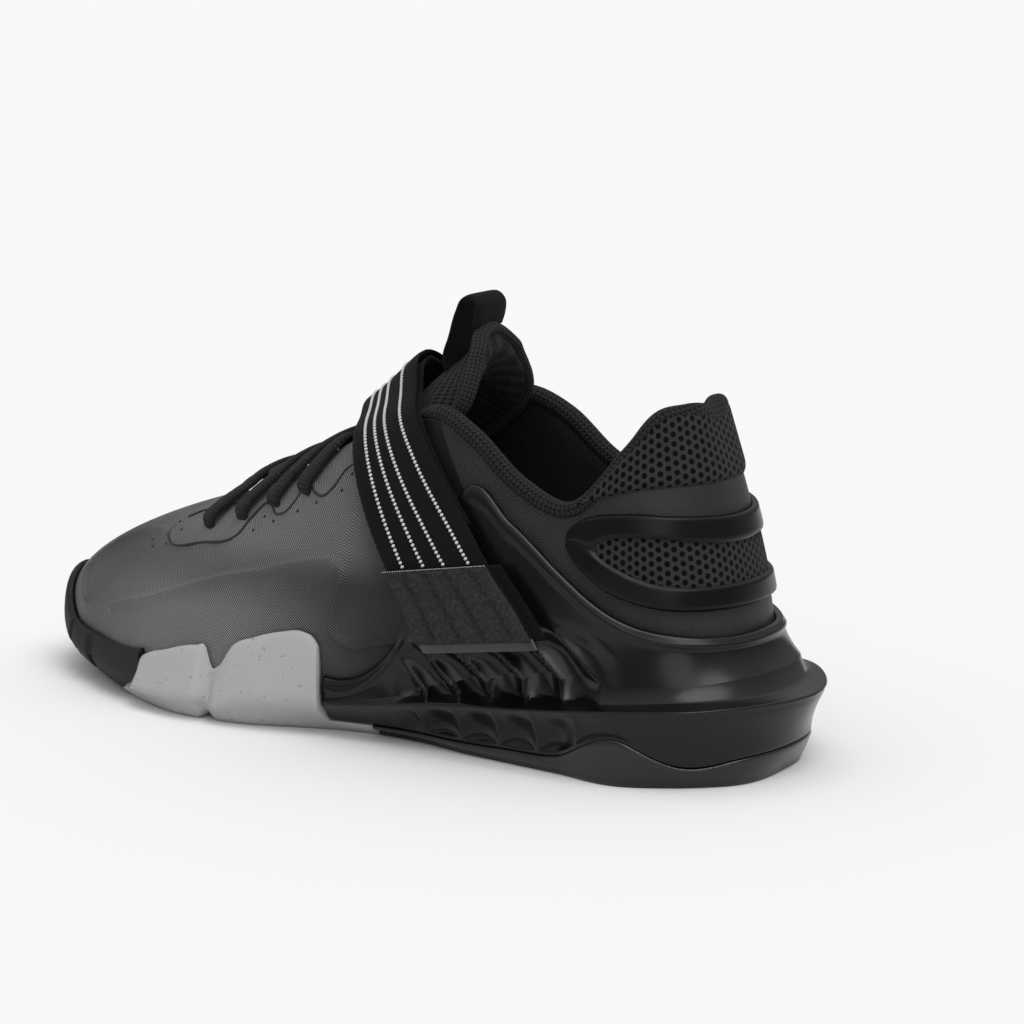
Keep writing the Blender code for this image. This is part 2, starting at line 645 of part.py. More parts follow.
def build_heel_outsole():
    """Rubber heel plate whose side petals rise over the midsole's wall."""
    end = sum(r.facets for r in LAST[:8])
    profiles = []
    for i in column_run(-end, end):
        foot, part, ridge, ridge_z, _, _ = WALL_AT[i]
        out = foot + (ridge - foot) * part / ridge_z
        inset = board_out(foot) + MOULD_SEAT
        profiles.append([side_point(i, 0, foot - FOOT_BEVEL), side_point(i, FOOT_BEVEL, foot),
                         side_point(i, part * .55, foot + (out - foot) * .5),
                         side_point(i, part, out), side_point(i, PLATE_THICKNESS, inset)])
    return loft("outsole_heel", profiles, ring=True)


def board_out(foot):
    """Offset of the board's lower edge, which tucks in where the foot of the wall does."""
    return min(0.0, BOARD_FOLLOW * foot - BOARD_INSET)


def footbed_at(u):
    """Height of the footbed beside a place round the shoe."""
    return float(footbed(feather([u])[0][0][0]))


def side_wall(u, foot_u, crown_z, edge, bulge, ridge_share):
    """Profile of a moulded wall from the floor over its crown and down inside to the plate."""
    foot_point, foot_out = feather([foot_u])
    foot = spread(WALLS, KEYS, [foot_u], ROUND)[0][0]
    x = foot_point[0][0]
    low = float(underside(x))
    floor_edge = foot_point[0] + foot_out[0] * (foot - FOOT_BEVEL)
    side_edge = np.array((*(foot_point[0] + foot_out[0] * foot), low + FOOT_BEVEL))
    v = height_share(u, crown_z)
    ridge_z = low + (crown_z - low) * ridge_share
    ridge_v = height_share(u, max(ridge_z, float(footbed(x)) + GAP * 2))
    ridge = lifted(u, ridge_v, MOULD_SEAT + bulge)[0]
    ridge[2] = ridge_z
    flank = side_edge + (ridge - side_edge) * .4
    crown_out = lifted(u, v, MOULD_SEAT + edge)[0]
    crown_in = lifted(u, v, MOULD_SEAT)[0]
    upper_mid = lifted(u, v * .85, MOULD_SEAT + edge * 1.5)[0]
    inner_mid = lifted(u, v * .5, MOULD_SEAT)[0]
    seat = lifted(u, 0, MOULD_SEAT)[0]
    return [(*floor_edge, low), side_edge, flank, ridge, upper_mid, crown_out, crown_in,
            inner_mid, seat, board_edge(u)]


def board_edge(u):
    """Outer edge of the plate's top, just outside the board."""
    point, out = feather([u])
    offset = board_out(spread(WALLS, KEYS, [u], ROUND)[0][0]) + MOULD_SEAT
    return np.array((*(point[0] + out[0] * offset), float(underside(point[0][0])) + PLATE_THICKNESS))


def tail_wall(u, crown_z):
    """Profile of the clip's thin tail, which lies under the cage."""
    point, out = feather([u])
    foot, _, ridge, ridge_z, _, _ = spread(WALLS, KEYS, [u], ROUND)[0]
    floor_edge = point[0] + out[0] * (foot - FOOT_BEVEL)
    side_edge = point[0] + out[0] * foot
    crown = point[0] + out[0] * (foot + (ridge - foot) * crown_z / ridge_z)
    return [(*floor_edge, 0), (*side_edge, FOOT_BEVEL), (*crown, crown_z), board_edge(u)]


def build_forefoot_clip():
    """Forefoot plate with its raised lobes on both sides."""
    shell = Shell()
    tails, walls = [], []
    for side in (1, -1):
        tails.append([shell.row(tail_wall(station(row.crown_x, side), PLATE_THICKNESS))
                      for row in CLIP[:CLIP_TAIL]])
        walls.append([])
        for row in CLIP[CLIP_TAIL:]:
            u, foot_u = station(row.crown_x, side), station(row.foot_x, side)
            wanted = (row.outer_z if side > 0 else row.inner_z) * ANKLE_HEIGHT
            crown = max(wanted, footbed_at(u) + CLIP_OVERLAP)
            walls[-1].append(shell.row(side_wall(u, foot_u, crown, CLIP_EDGE, CLIP_BULGE, CLIP_RIDGE)))
        tail, wall = tails[-1], walls[-1]
        for a, b in list(zip(tail, tail[1:])) + list(zip(wall, wall[1:])):
            shell.band(a, b)
        low = wall[0][:3] + wall[0][-1:]
        shell.band(tail[-1], low)
        shell.faces.append(tuple(wall[0][2:]))
        shell.faces.append(tuple(wall[-1]) if side > 0 else tuple(wall[-1][::-1]))
    outer, inner = tails[0] + walls[0], tails[1] + walls[1]
    for end in (0, -1):
        for a, b, c, d in zip(outer, outer[1:], inner[1:], inner):
            shell.faces.append((a[end], b[end], c[end], d[end]))
    for a, b in ((outer[0], inner[0]), (outer[-1][::9], inner[-1][::9])):
        shell.faces.append(tuple(a) + tuple(b[::-1]))
    return shell.body("forefoot_clip")


def build_toe_bumper():
    """Rubber round the toe, with two slots in its lower edge on each side."""
    foot_x, crown_x = CLIP[-1].foot_x + JOINT, CLIP[-1].crown_x + JOINT
    (start, start_foot), (end, end_foot) = [(station(crown_x, side), station(foot_x, side))
                                            for side in (1, -1)]
    columns = [u for u in COLUMNS if start + JOINT * LENGTH < u < end - JOINT * LENGTH]
    profiles = []
    for u in [start] + columns + [end]:
        foot_u = (u + (start_foot - start) * max(0, 1 - (u - start) / BUMPER_LEAD)
                  + (end_foot - end) * max(0, 1 - (end - u) / BUMPER_LEAD))
        crown = max(spread(WALLS, KEYS, [u], ROUND)[0][5], footbed_at(u) + BUMPER_OVERLAP)
        profiles.append(side_wall(u, foot_u, crown, BUMPER_EDGE, BUMPER_BULGE, BUMPER_RIDGE))
    bumper = loft("toe_bumper", profiles, ring=True)
    slots = []
    for share in SLOTS:
        for side in (1, -1):
            point, out = feather([station(share, side)])
            x, y = point[0] + out[0] * BUMPER_BULGE
            low = float(underside(x))
            slots.append(box("slot", (x - SLOT_WIDTH / 2, y - SLOT_DEPTH, low - SLOT_HEIGHT),
                             (x + SLOT_WIDTH / 2, y + SLOT_DEPTH, low + SLOT_HEIGHT)))
    return cut(bumper, slots)


def build_insole():
    """Footbed layer that fills the upper's floor."""
    profiles = []
    for i in range(COUNT):
        seat = float(footbed(BASE_AT[i][0])) + GAP
        depths = [on_facets(i, z, -(UPPER_WALL + INSOLE_MARGIN))
                  for z in (seat, seat + INSOLE_THICKNESS * 1.3)]
        inside = min(depths, key=lambda p: (p[:2] - BASE_AT[i]) @ OUT_AT[i])
        z = float(footbed(inside[0])) + GAP
        profiles.append([(inside[0], inside[1], z), (inside[0], inside[1], z + INSOLE_THICKNESS)])
    shell = Shell()
    rows = [shell.row(p) for p in profiles]
    for i in range(COUNT):
        shell.band(rows[i], rows[(i + 1) % COUNT])
    for end in (0, -1):
        for i in range(HALF):
            face = (rows[i][end], rows[i + 1][end], rows[(COUNT - i - 1) % COUNT][end],
                    rows[(COUNT - i) % COUNT][end])
            shell.faces.append(tuple(dict.fromkeys(face)))
    return shell.body("insole")


def build_heel_frame():
    """Moulded ring round the window of the heel counter, wrapped over the back."""
    keys = [r.x for r in HEEL_FRAME]
    table = np.array([(r.bottom, r.window_bottom, r.window_top, r.top) for r in HEEL_FRAME])
    shares = (BASE_AT[:, 0] + REST_FROM_BACK) / LENGTH
    reach = int(np.searchsorted(shares[:HALF], keys[-1], side="right")) - 1
    shell = Shell()
    columns = []
    for i in range(-reach, reach + 1):
        x = np.clip(shares[i], keys[0], keys[-1])
        bottom, low, high, top = (np.interp(x, keys, table[:, k]) * ANKLE_HEIGHT for k in range(4))
        closed = x >= WINDOW_TIP
        if closed:
            low = high = (low + high) / 2
        levels = [bottom, bottom + (low - bottom) * .5, low, high, high + (top - high) * .5, top]
        outer = [on_facets(i, z, FRAME_SEAT + FRAME_THICKNESS * c)
                 for z, c in zip(levels, (.35, 1, .45, .45, 1, .35))]
        inner = [on_facets(i, z, FRAME_SEAT) for z in levels]
        columns.append((shell.row(outer), shell.row(inner), closed))
    for (oa, ia, solid_a), (ob, ib, solid_b) in zip(columns, columns[1:]):
        for k in (0, 1, 3, 4):
            shell.faces.append((oa[k], oa[k + 1], ob[k + 1], ob[k]))
            shell.faces.append((ia[k], ib[k], ib[k + 1], ia[k + 1]))
        for k in (0, 5) if solid_a and solid_b else (0, 2, 3, 5):
            shell.faces.append((oa[k], ob[k], ib[k], ia[k]))
    for outer, inner, _ in (columns[0], columns[-1]):
        for k in (0, 1, 3, 4):
            shell.faces.append((outer[k], inner[k], inner[k + 1], outer[k + 1]))
    return shell.body("heel_frame")


def build_tongue():
    """Padded tongue, bent round the instep and open behind."""
    shell = Shell()
    outer, inner = [], []
    for k, row in enumerate(TONGUE):
        near = TONGUE[max(k - 1, 0)], TONGUE[min(k + 1, len(TONGUE) - 1)]
        slope = np.array(((near[1].x - near[0].x) * LENGTH, 0, (near[1].z - near[0].z) * ANKLE_HEIGHT))
        slope /= np.linalg.norm(slope)
        up = np.array((slope[2], 0, -slope[0]))
        tops, lows = [], []
        for j in range(TONGUE_ACROSS + 1):
            w = 2 * j / TONGUE_ACROSS - 1
            bend = w * w
            point = np.array((x_at(row.x) - row.back * BALL_WIDTH * bend,
                              row.y * BALL_WIDTH + w * row.half * BALL_WIDTH,
                              row.z * ANKLE_HEIGHT - row.drop * ANKLE_HEIGHT * bend))
            side = np.array((0, w * .9, 0)) * (row.drop / row.half)
            normal = up + side
            normal /= np.linalg.norm(normal)
            thick = row.thick * ANKLE_HEIGHT * (1 - .55 * bend * bend)
            tops.append(point)
            lows.append(point - normal * thick)
        outer.append(shell.row(tops))
        inner.append(shell.row(lows))
    for chain, turn in ((outer, 1), (inner, -1)):
        for a, b in zip(chain, chain[1:]):
            shell.band(a, b) if turn > 0 else shell.band(b, a)
    for k in range(len(TONGUE) - 1):
        for end in (0, -1):
            shell.faces.append((outer[k][end], outer[k + 1][end], inner[k + 1][end], inner[k][end]))
    for k in (0, -1):
        shell.band(outer[k], inner[k])
    return shell.body("tongue")


def push_needed(point, clearance):
    """How far, and which way, a point nearer than the clearance to the upper has to move."""
    _, index, _ = TREE.find(point)
    away = point - CLOUD[index]
    direction = CLOUD_NORMALS[index]
    room = away @ direction
    if CLOUD_V[index] > THROAT_SIDE and room > 0:
        room = np.linalg.norm(away)
        direction = away / room
    return max(0.0, clearance - room), direction


def keep_off(line, clearance, straight):
    """A row of points moved clear of the upper: each on its own, or all of them together."""
    pushes = [push_needed(p, clearance) for p in line]
    if straight:
        most = max(distance for distance, _ in pushes)
        direction = np.mean([way for _, way in pushes], axis=0)
        return [p + direction / np.linalg.norm(direction) * most for p in line]
    return [p + way * distance for p, (distance, way) in zip(line, pushes)]


def grid_normals(lines):
    """Normals of a grid of points, rows by the first index."""
    along = np.gradient(lines, axis=0)
    across = np.gradient(lines, axis=1)
    normal = np.cross(across, along)
    return normal / np.linalg.norm(normal, axis=2, keepdims=True)


def ribbon(name, lines, thickness, lift=0.0):
    """Solid band through rows of points, thickness along its own normal, lifted off its rows."""
    lines = np.array(lines, float)
    normals = grid_normals(lines)
    shell = Shell()
    outer = [shell.row(row) for row in lines + normals * (lift + thickness / 2)]
    inner = [shell.row(row) for row in lines + normals * (lift - thickness / 2)]
    for a, b in zip(outer, outer[1:]):
        shell.band(a, b)
    for a, b in zip(inner, inner[1:]):
        shell.band(b, a)
    for k in range(len(outer) - 1):
        for end in (0, -1):
            shell.faces.append((outer[k][end], outer[k + 1][end], inner[k + 1][end], inner[k][end]))
    for k in (0, -1):
        shell.band(outer[k], inner[k])
    return shell.body(name)


def strap_lines():
    """Rows of the strap's outer layer, kept clear of the upper and of the layer beneath."""
    pitch = STRAP_THICKNESS + STRAP_LAYER_GAP
    fold = RING_WIRE + STRAP_THICKNESS + 2 * RING_CLEARANCE
    lines, drops = [], []
    for k, row in enumerate(STRAP):
        front = np.array((x_at(row.front_x), row.front_y * BALL_WIDTH, row.front_z * ANKLE_HEIGHT))
        rear = np.array((x_at(row.rear_x), row.rear_y * BALL_WIDTH, row.rear_z * ANKLE_HEIGHT))
        share = k / (len(STRAP) - 1)
        drop = pitch + (fold - pitch) * share ** 6
        clearance = drop + STRAP_THICKNESS / 2 + STRAP_SEAT
        line = [front + (rear - front) * j / STRAP_ACROSS for j in range(STRAP_ACROSS + 1)]
        lines.append(keep_off(line, clearance, k >= len(STRAP) - STRAIGHT_ROWS))
        drops.append(drop)
    return np.array(lines), np.array(drops)


def build_strap():
    """Doubled strap: from its outer end over the instep, round the ring and back beneath."""
    lines, drops = strap_lines()
    normals = grid_normals(lines)
    under = lines - normals * drops[:, None, None]
    along = lines[-1] - lines[-2]
    along /= np.linalg.norm(along, axis=1, keepdims=True)
    turn = []
    for k in range(1, 4):
        angle = pi * k / 4
        turn.append(lines[-1] - normals[-1] * drops[-1] / 2 * (1 - cos(angle))
                    + along * drops[-1] / 2 * sin(angle))
    rows = np.concatenate((lines, turn, under[:UNDERLAY_START - 1:-1]))
    return ribbon("strap", rows, STRAP_THICKNESS)


def build_strap_patch():
    """Moulded end patch on the strap."""
    lift = (STRAP_THICKNESS + PATCH_THICKNESS) / 2 + GAP
    return ribbon("strap_patch", strap_lines()[0][:PATCH_ROWS], PATCH_THICKNESS, lift=lift)


def build_strap_pile():
    """Fastening strip under the strap's end, which shows past its rear edge."""
    lines = strap_lines()[0][:PATCH_ROWS]
    wide = lines[:, -1] - lines[:, 0]
    wide /= np.linalg.norm(wide, axis=1, keepdims=True)
    lift = -(STRAP_THICKNESS + PILE_THICKNESS) / 2 - GAP
    return ribbon("strap_pile", lines + wide[:, None] * PILE_SHIFT, PILE_THICKNESS, lift=lift)


def tube(name, points, radius, sides=8):
    """Closed round bar along a ring of points."""
    points = np.array(points, float)
    along = np.roll(points, -1, axis=0) - np.roll(points, 1, axis=0)
    along /= np.linalg.norm(along, axis=1, keepdims=True)
    arms = points - points.mean(axis=0)
    plane = np.cross(arms[0], arms[len(points) // 3])
    plane /= np.linalg.norm(plane)
    shell = Shell()
    rows = []
    for p, a in zip(points, along):
        side = np.cross(a, plane)
        side /= np.linalg.norm(side)
        rows.append(shell.row([p + radius * (cos(t) * side + sin(t) * plane)
                               for t in (2 * pi * k / sides for k in range(sides))]))
    for a, b in zip(rows, rows[1:] + rows[:1]):
        shell.band(a, b, closed=True)
    return shell.body(name)


def build_pull_loop():
    """Webbing loop at the top of the tongue, a closed band seen from the side."""
    row = TONGUE[-1]
    top = np.array((x_at(row.x), row.z * ANKLE_HEIGHT))
    middle = row.y * BALL_WIDTH
    points = top + np.array([(p.ahead, p.above) for p in LOOP])
    run = np.gradient(points, axis=0)
    run /= np.linalg.norm(run, axis=1, keepdims=True)
    side = np.column_stack((-run[:, 1], run[:, 0])) * LOOP_THICKNESS / 2
    ring = np.concatenate((points + side, (points - side)[::-1]))
    profiles = [[(p[0], middle + y, p[1]) for p in ring] for y in (-LOOP_WIDTH / 2, LOOP_WIDTH / 2)]
    return loft("pull_loop", profiles)


def throat_station(x_share, side):
    """Distance round the shoe whose top edge has this length, on the outer or inner side."""
    u = COLUMNS[:HALF + 1] if side > 0 else COLUMNS[:HALF - 1:-1]
    x = np.maximum.accumulate(spread(TOP, KEYS, u, ROUND)[:, 0])
    return float(np.interp(x_at(x_share), x + np.arange(len(x)) * 1e-9, u))


def eyelet(x_share, side):
    """Where a lace leaves the eyestay, and where it crosses the throat's edge."""
    u = throat_station(x_share, side)
    lift = BAND_STEP + LACE_SEAT + LACE_THICKNESS / 2
    return [lifted(u, below_edge(u, EYELET_INSET * share * ANKLE_HEIGHT), lift)[0]
            for share in (1, .5, 0)]


def lace_run(name, start, end):
    """Flat lace from one eyelet over the tongue to another."""
    middle = (start[-1] + end[-1]) / 2 + np.array((0, 0, LACE_CROWN))
    path = np.array(start + [middle] + end[::-1])
    along = np.gradient(path, axis=0)
    side = np.cross(along, (0, 0, 1))
    side /= np.linalg.norm(side, axis=1, keepdims=True)
    return ribbon(name, np.stack((path + side * LACE_WIDTH / 2, path - side * LACE_WIDTH / 2), 1),
                  LACE_THICKNESS)


def build_laces():
    """Bar over the lowest eyelets and the crossings above it, joined into one lace."""
    pairs = [(eyelet(x, 1), eyelet(x, -1)) for x in EYELETS]
    lace = lace_run("laces", *pairs[0])
    for low, high in zip(pairs, pairs[1:]):
        for start, end in ((low[0], high[1]), (low[1], high[0])):
            part = lace_run("lace_run", start, end)
            part.hide_render = True
            part.display_type = "WIRE"
            union = lace.modifiers.new("join", "BOOLEAN")
            union.operation = "UNION"
            union.solver = "EXACT"
            union.object = part
    return lace


def ring_frame():
    """Ends of the ring's two long bars on the inner side, and the way down the shoe."""
    lines, drops = strap_lines()
    normal = grid_normals(lines)[-1].mean(axis=0)
    down = (lines[-1] - lines[-2]).sum(axis=0)
    down /= np.linalg.norm(down)
    wide = lines[-1][0] - lines[-1][-1]
    wide /= np.linalg.norm(wide)
    front, rear = (lines[-1][end] - normal * drops[-1] / 2 for end in (0, -1))
    margin = wide * RING_MARGIN
    return front + margin, rear - margin, down, wide, normal


def build_strap_ring():
    """Rectangular ring that the strap doubles back through."""
    front, rear, down, wide, _ = ring_frame()
    corner = RING_CORNER
    low_front, low_rear = front + down * RING_DEPTH, rear + down * RING_DEPTH
    path = [front - wide * corner, front + down * corner, low_front - down * corner,
            low_front - wide * corner, low_rear + wide * corner, low_rear - down * corner,
            rear + down * corner, rear + wide * corner]
    return tube("strap_ring", path, RING_WIRE / 2)


def build_ring_keeper():
    """Webbing that holds the ring, folded round its lower bar and sewn down to the upper."""
    front, rear, down, wide, normal = ring_frame()
    middle = (front + rear) / 2 + down * RING_DEPTH
    reach = (RING_WIRE + KEEPER_THICKNESS) / 2 + GAP
    path = [middle + normal * reach + down * KEEPER_TAB, middle + normal * reach]
    path += [middle + normal * reach * cos(t) - down * reach * sin(t) for t in (pi / 4, pi / 2, 3 * pi / 4)]
    path.append(middle - normal * reach)
    lines = [[p + wide * KEEPER_WIDTH * share for share in (.5, 0, -.5)] for p in path]
    start, end = lines[-1], KEEPER_END * ANKLE_HEIGHT
    for k in range(1, 5):
        line = []
        for p in start:
            z = p[2] + (end - p[2]) * k / 4
            u = station((p[0] + REST_FROM_BACK) / LENGTH, -1)
            seat = lifted(u, height_share(u, z), BAND_STEP + KEEPER_SEAT + KEEPER_THICKNESS / 2)[0]
            line.append(seat)
        lines.append(line)
    return ribbon("ring_keeper", lines, KEEPER_THICKNESS)


MATERIALS = {
    "upper": ((.020, .020, .022), .50),
    "midsole": ((.012, .012, .013), .38),
    "outsole_heel": ((.010, .010, .010), .25),
    "forefoot_clip": ((.360, .360, .365), .60),
    "toe_bumper": ((.020, .020, .020), .70),
    "insole": ((.015, .015, .015), .90),
    "heel_frame": ((.014, .014, .015), .40),
    "tongue": ((.012, .012, .013), .95),
    "strap": ((.015, .015, .016), .80),
    "strap_patch": ((.030, .030, .032), .60),
    "strap_pile": ((.010, .010, .010), .98),
    "pull_loop": ((.012, .012, .012), .85),
    "laces": ((.010, .010, .010), .85),
    "strap_ring": ((.020, .020, .020), .35),
    "ring_keeper": ((.012, .012, .012), .85),
}


def main():
    for leftover in list(bpy.data.objects):
        bpy.data.objects.remove(leftover)
    for build in (build_upper, build_midsole, build_heel_outsole, build_forefoot_clip,
                  build_toe_bumper, build_insole, build_heel_frame, build_tongue, build_strap,
                  build_strap_patch, build_strap_pile, build_strap_ring, build_ring_keeper,
                  build_pull_loop, build_laces):
        body = build()
        paint(body, body.name + "_finish", *MATERIALS[body.name])


main()
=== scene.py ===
"""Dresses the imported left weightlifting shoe: smooth forms, textiles, mouldings, strap, laces and studio."""

import logging
from dataclasses import dataclass
from enum import Enum
from math import cos, pi, radians, sin
from typing import Callable, NamedTuple, Optional, Sequence, Union

import bmesh
import bpy
import numpy as np
from bpy.types import Material, Node, NodeSocket, NodeTree, Object
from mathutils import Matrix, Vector
from mathutils.kdtree import KDTree


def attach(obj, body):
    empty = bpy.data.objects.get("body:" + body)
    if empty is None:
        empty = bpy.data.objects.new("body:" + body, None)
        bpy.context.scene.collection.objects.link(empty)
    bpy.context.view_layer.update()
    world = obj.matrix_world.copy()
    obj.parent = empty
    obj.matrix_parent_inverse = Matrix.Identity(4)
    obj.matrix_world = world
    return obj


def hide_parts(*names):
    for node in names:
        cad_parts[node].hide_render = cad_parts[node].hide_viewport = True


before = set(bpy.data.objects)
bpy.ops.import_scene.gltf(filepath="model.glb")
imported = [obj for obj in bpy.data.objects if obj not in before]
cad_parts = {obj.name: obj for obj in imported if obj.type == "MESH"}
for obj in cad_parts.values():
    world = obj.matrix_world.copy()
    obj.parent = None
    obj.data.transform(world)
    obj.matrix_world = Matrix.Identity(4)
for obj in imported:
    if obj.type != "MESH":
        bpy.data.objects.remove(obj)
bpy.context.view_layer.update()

logging.basicConfig(level=logging.INFO, format="%(message)s")
LOG = logging.getLogger("shoe")

Array = np.ndarray

LENGTH = 0.300
BALL_WIDTH = 0.100
ANKLE_HEIGHT = 0.100
HEEL_LIFT = 0.033
FOREFOOT_LIFT = 0.010
TOE_SPRING = 0.014
REST_FROM_BACK = 0.055
GAP = 0.0003
UPPER_WALL = 0.0022
COLLAR_PADDING = 0.0035
BAND_STEP = 0.0008
PLATE_THICKNESS = 0.0042
CAGE_RIM = 0.0025
MOULD_SEAT = 0.0005
STRAP_THICKNESS = 0.0016
STRAP_LAYER_GAP = 0.0008
RING_WIRE = 0.0028
FOOT_BEVEL = 0.0012
SIDE_SAMPLES = 1200
SECTION_SAMPLES = 201
EDGE_SAMPLES = 161
NUDGE = 1e-9


class LastRow(NamedTuple):
    """Section of the last; lengths in shares of LENGTH, BALL_WIDTH and ANKLE_HEIGHT."""

    name: str
    x: float
    outer: float
    inner: float
    skew: float
    top_x: float
    top_outer: float
    top_inner: float
    top_z: float
    rise: float
    lean: float
    reach: float
    fall: float


class SoleRow(NamedTuple):
    """Walls of the sole at a section of the last, out from the feather line."""

    name: str
    foot_outer: float
    foot_inner: float
    part: float
    ridge: float
    ridge_z: float
    wall: float
    rim: float


LAST = [
    LastRow("heel_back", .067, .000, .000, .000, .129, .000, .000, 1.105, .18, .00, .32, 70),
    LastRow("heel_turn", .080, .170, .165, .000, .134, .105, .105, 1.120, .18, .01, .30, 73),
    LastRow("heel_corner", .110, .265, .260, .000, .150, .190, .185, 1.110, .18, .04, .26, 77),
    LastRow("heel_side", .167, .315, .315, .000, .177, .265, .265, 1.000, .18, .07, .20, 80),
    LastRow("collar_dip", .233, .325, .330, .000, .232, .310, .310, .825, .18, .08, .15, 82),
    LastRow("collar_rise", .300, .320, .335, .000, .295, .312, .312, .880, .20, .09, .18, 82),
    LastRow("ankle", .360, .320, .345, .000, .350, .300, .312, 1.010, .25, .10, .24, 78),
    LastRow("collar_peak", .417, .320, .370, .000, .398, .255, .290, 1.075, .30, .11, .28, 64),
    LastRow("throat_top", .475, .330, .410, .000, .443, .200, .245, 1.050, .33, .11, .30, 50),
    LastRow("cage_end", .525, .345, .450, .000, .485, .175, .225, 1.000, .33, .10, .30, 44),
    LastRow("instep", .560, .357, .490, .003, .515, .155, .215, .955, .32, .09, .28, 40),
    LastRow("throat_mid", .635, .380, .565, .010, .580, .125, .195, .855, .30, .07, .25, 36),
    LastRow("ball", .710, .373, .612, .028, .650, .085, .170, .755, .27, .05, .24, 31),
    LastRow("throat_end", .785, .310, .575, .050, .708, .040, .130, .690, .23, .04, .27, 26),
    LastRow("toe_side", .865, .195, .485, .060, .736, .000, .095, .668, .19, .04, .32, 21),
    LastRow("toe_turn", .935, .060, .370, .030, .746, -.030, .070, .662, .16, .04, .37, 18),
    LastRow("toe", .988, -.190, .190, .000, .750, -.050, .050, .660, .14, .04, .41, 17),
]

SOLE = [
    SoleRow("heel_back", .075, .075, .30, .185, .79, .080, .440),
    SoleRow("heel_turn", .090, .090, .28, .160, .79, .080, .440),
    SoleRow("heel_corner", .080, .080, .21, .165, .78, .082, .450),
    SoleRow("heel_side", .112, .100, .46, .142, .72, .080, .490),
    SoleRow("collar_dip", .065, .060, .20, .128, .65, .080, .610),
    SoleRow("collar_rise", .040, .030, .16, .110, .58, .076, .750),
    SoleRow("ankle", .012, -.010, .14, .092, .53, .070, .840),
    SoleRow("collar_peak", -.032, -.060, .14, .090, .47, .070, .420),
    SoleRow("throat_top", -.058, -.100, .14, .068, .40, .062, .225),
    SoleRow("cage_end", -.058, -.110, .14, .055, .36, .052, .200),
    SoleRow("instep", -.040, -.090, .14, .040, .36, .045, .270),
    SoleRow("throat_mid", .004, -.020, .14, .040, .36, .045, .270),
    SoleRow("ball", .012, .010, .14, .040, .36, .045, .250),
    SoleRow("throat_end", .004, .010, .14, .040, .36, .045, .185),
    SoleRow("toe_side", .006, .010, .14, .040, .36, .045, .180),
    SoleRow("toe_turn", .020, .020, .14, .040, .36, .045, .205),
    SoleRow("toe", .030, .030, .14, .040, .36, .045, .330),
]


# Shared form of the shoe

def spread(values: Sequence, keys: Sequence, wanted: Sequence, period: Optional[float] = None) -> Array:
    """Cubic curve through a table's values.

    Args:
        values: Values at the keys, one row each.
        keys: Rising keys.
        wanted: Keys to read at.
        period: Length after which the table repeats, if it does.

    Returns:
        The values at the wanted keys.
    """
    values = np.asarray(values, float)
    keys = np.asarray(keys, float)
    if period:
        keys = np.concatenate((keys[-2:] - period, keys, keys[:3] + period))
        values = np.concatenate((values[-2:], values, values[:3]))
    gaps = np.diff(keys)
    chords = (np.diff(values, axis=0).T / gaps).T
    slopes = np.empty_like(values)
    slopes[0], slopes[-1] = chords[0], chords[-1]
    left, right = gaps[:-1], gaps[1:]
    slopes[1:-1] = ((chords[:-1].T * right + chords[1:].T * left) / (left + right)).T
    wanted = np.atleast_1d(np.asarray(wanted, float))
    if period:
        wanted = np.mod(wanted, period)
    k = np.clip(np.searchsorted(keys, wanted, side="right") - 1, 0, len(keys) - 2)
    h = keys[k + 1] - keys[k]
    t = (wanted - keys[k]) / h
    a = 2 * t ** 3 - 3 * t ** 2 + 1
    b = (t ** 3 - 2 * t ** 2 + t) * h
    d = (t ** 3 - t ** 2) * h
    return (values[k].T * a + slopes[k].T * b + values[k + 1].T * (1 - a) + slopes[k + 1].T * d).T


def around(outer: list, inner: list) -> list:
    """Rows of both sides in one ring: heel back, outer side, toe, inner side."""
    return outer + inner[-2:0:-1]


def x_at(share: float) -> float:
    """Place along the shoe of a share of its length."""
    return share * LENGTH - REST_FROM_BACK


def smoothstep(low: float, high: float, x: Array) -> Array:
    """Soft step from 0 at low to 1 at high."""
    t = np.clip((np.asarray(x, float) - low) / (high - low), 0, 1)
    return t * t * (3 - 2 * t)


def underside(x: Array) -> Array:
    """Height of the sole's underside, with the toe spring."""
    share = (np.asarray(x) + REST_FROM_BACK) / LENGTH
    return TOE_SPRING * (np.clip(share - .71, 0, 1) / .29) ** 2


def footbed(x: Array) -> Array:
    """Height of the footbed along the shoe."""
    share = (np.asarray(x) + REST_FROM_BACK) / LENGTH
    wedge = 1 - smoothstep(.19, .62, share)
    return FOREFOOT_LIFT + (HEEL_LIFT - FOREFOOT_LIFT) * wedge + underside(x)


def runs_along(points: Array, axis: int = 0) -> Array:
    """Distance from the first point at each point of a path, or of each line of a grid."""
    steps = np.linalg.norm(np.diff(points, axis=axis), axis=-1).cumsum(axis=axis)
    return np.concatenate((np.zeros_like(np.take(steps, [0], axis)), steps), axis)


def unit(vectors: Array) -> Array:
    """The same directions at length one."""
    return vectors / np.linalg.norm(vectors, axis=-1, keepdims=True)


def columns_of(*values: Union[Array, float]) -> list:
    """Numbers and rows of numbers as rows of one length."""
    return np.broadcast_arrays(*[np.atleast_1d(a).astype(float) for a in values])


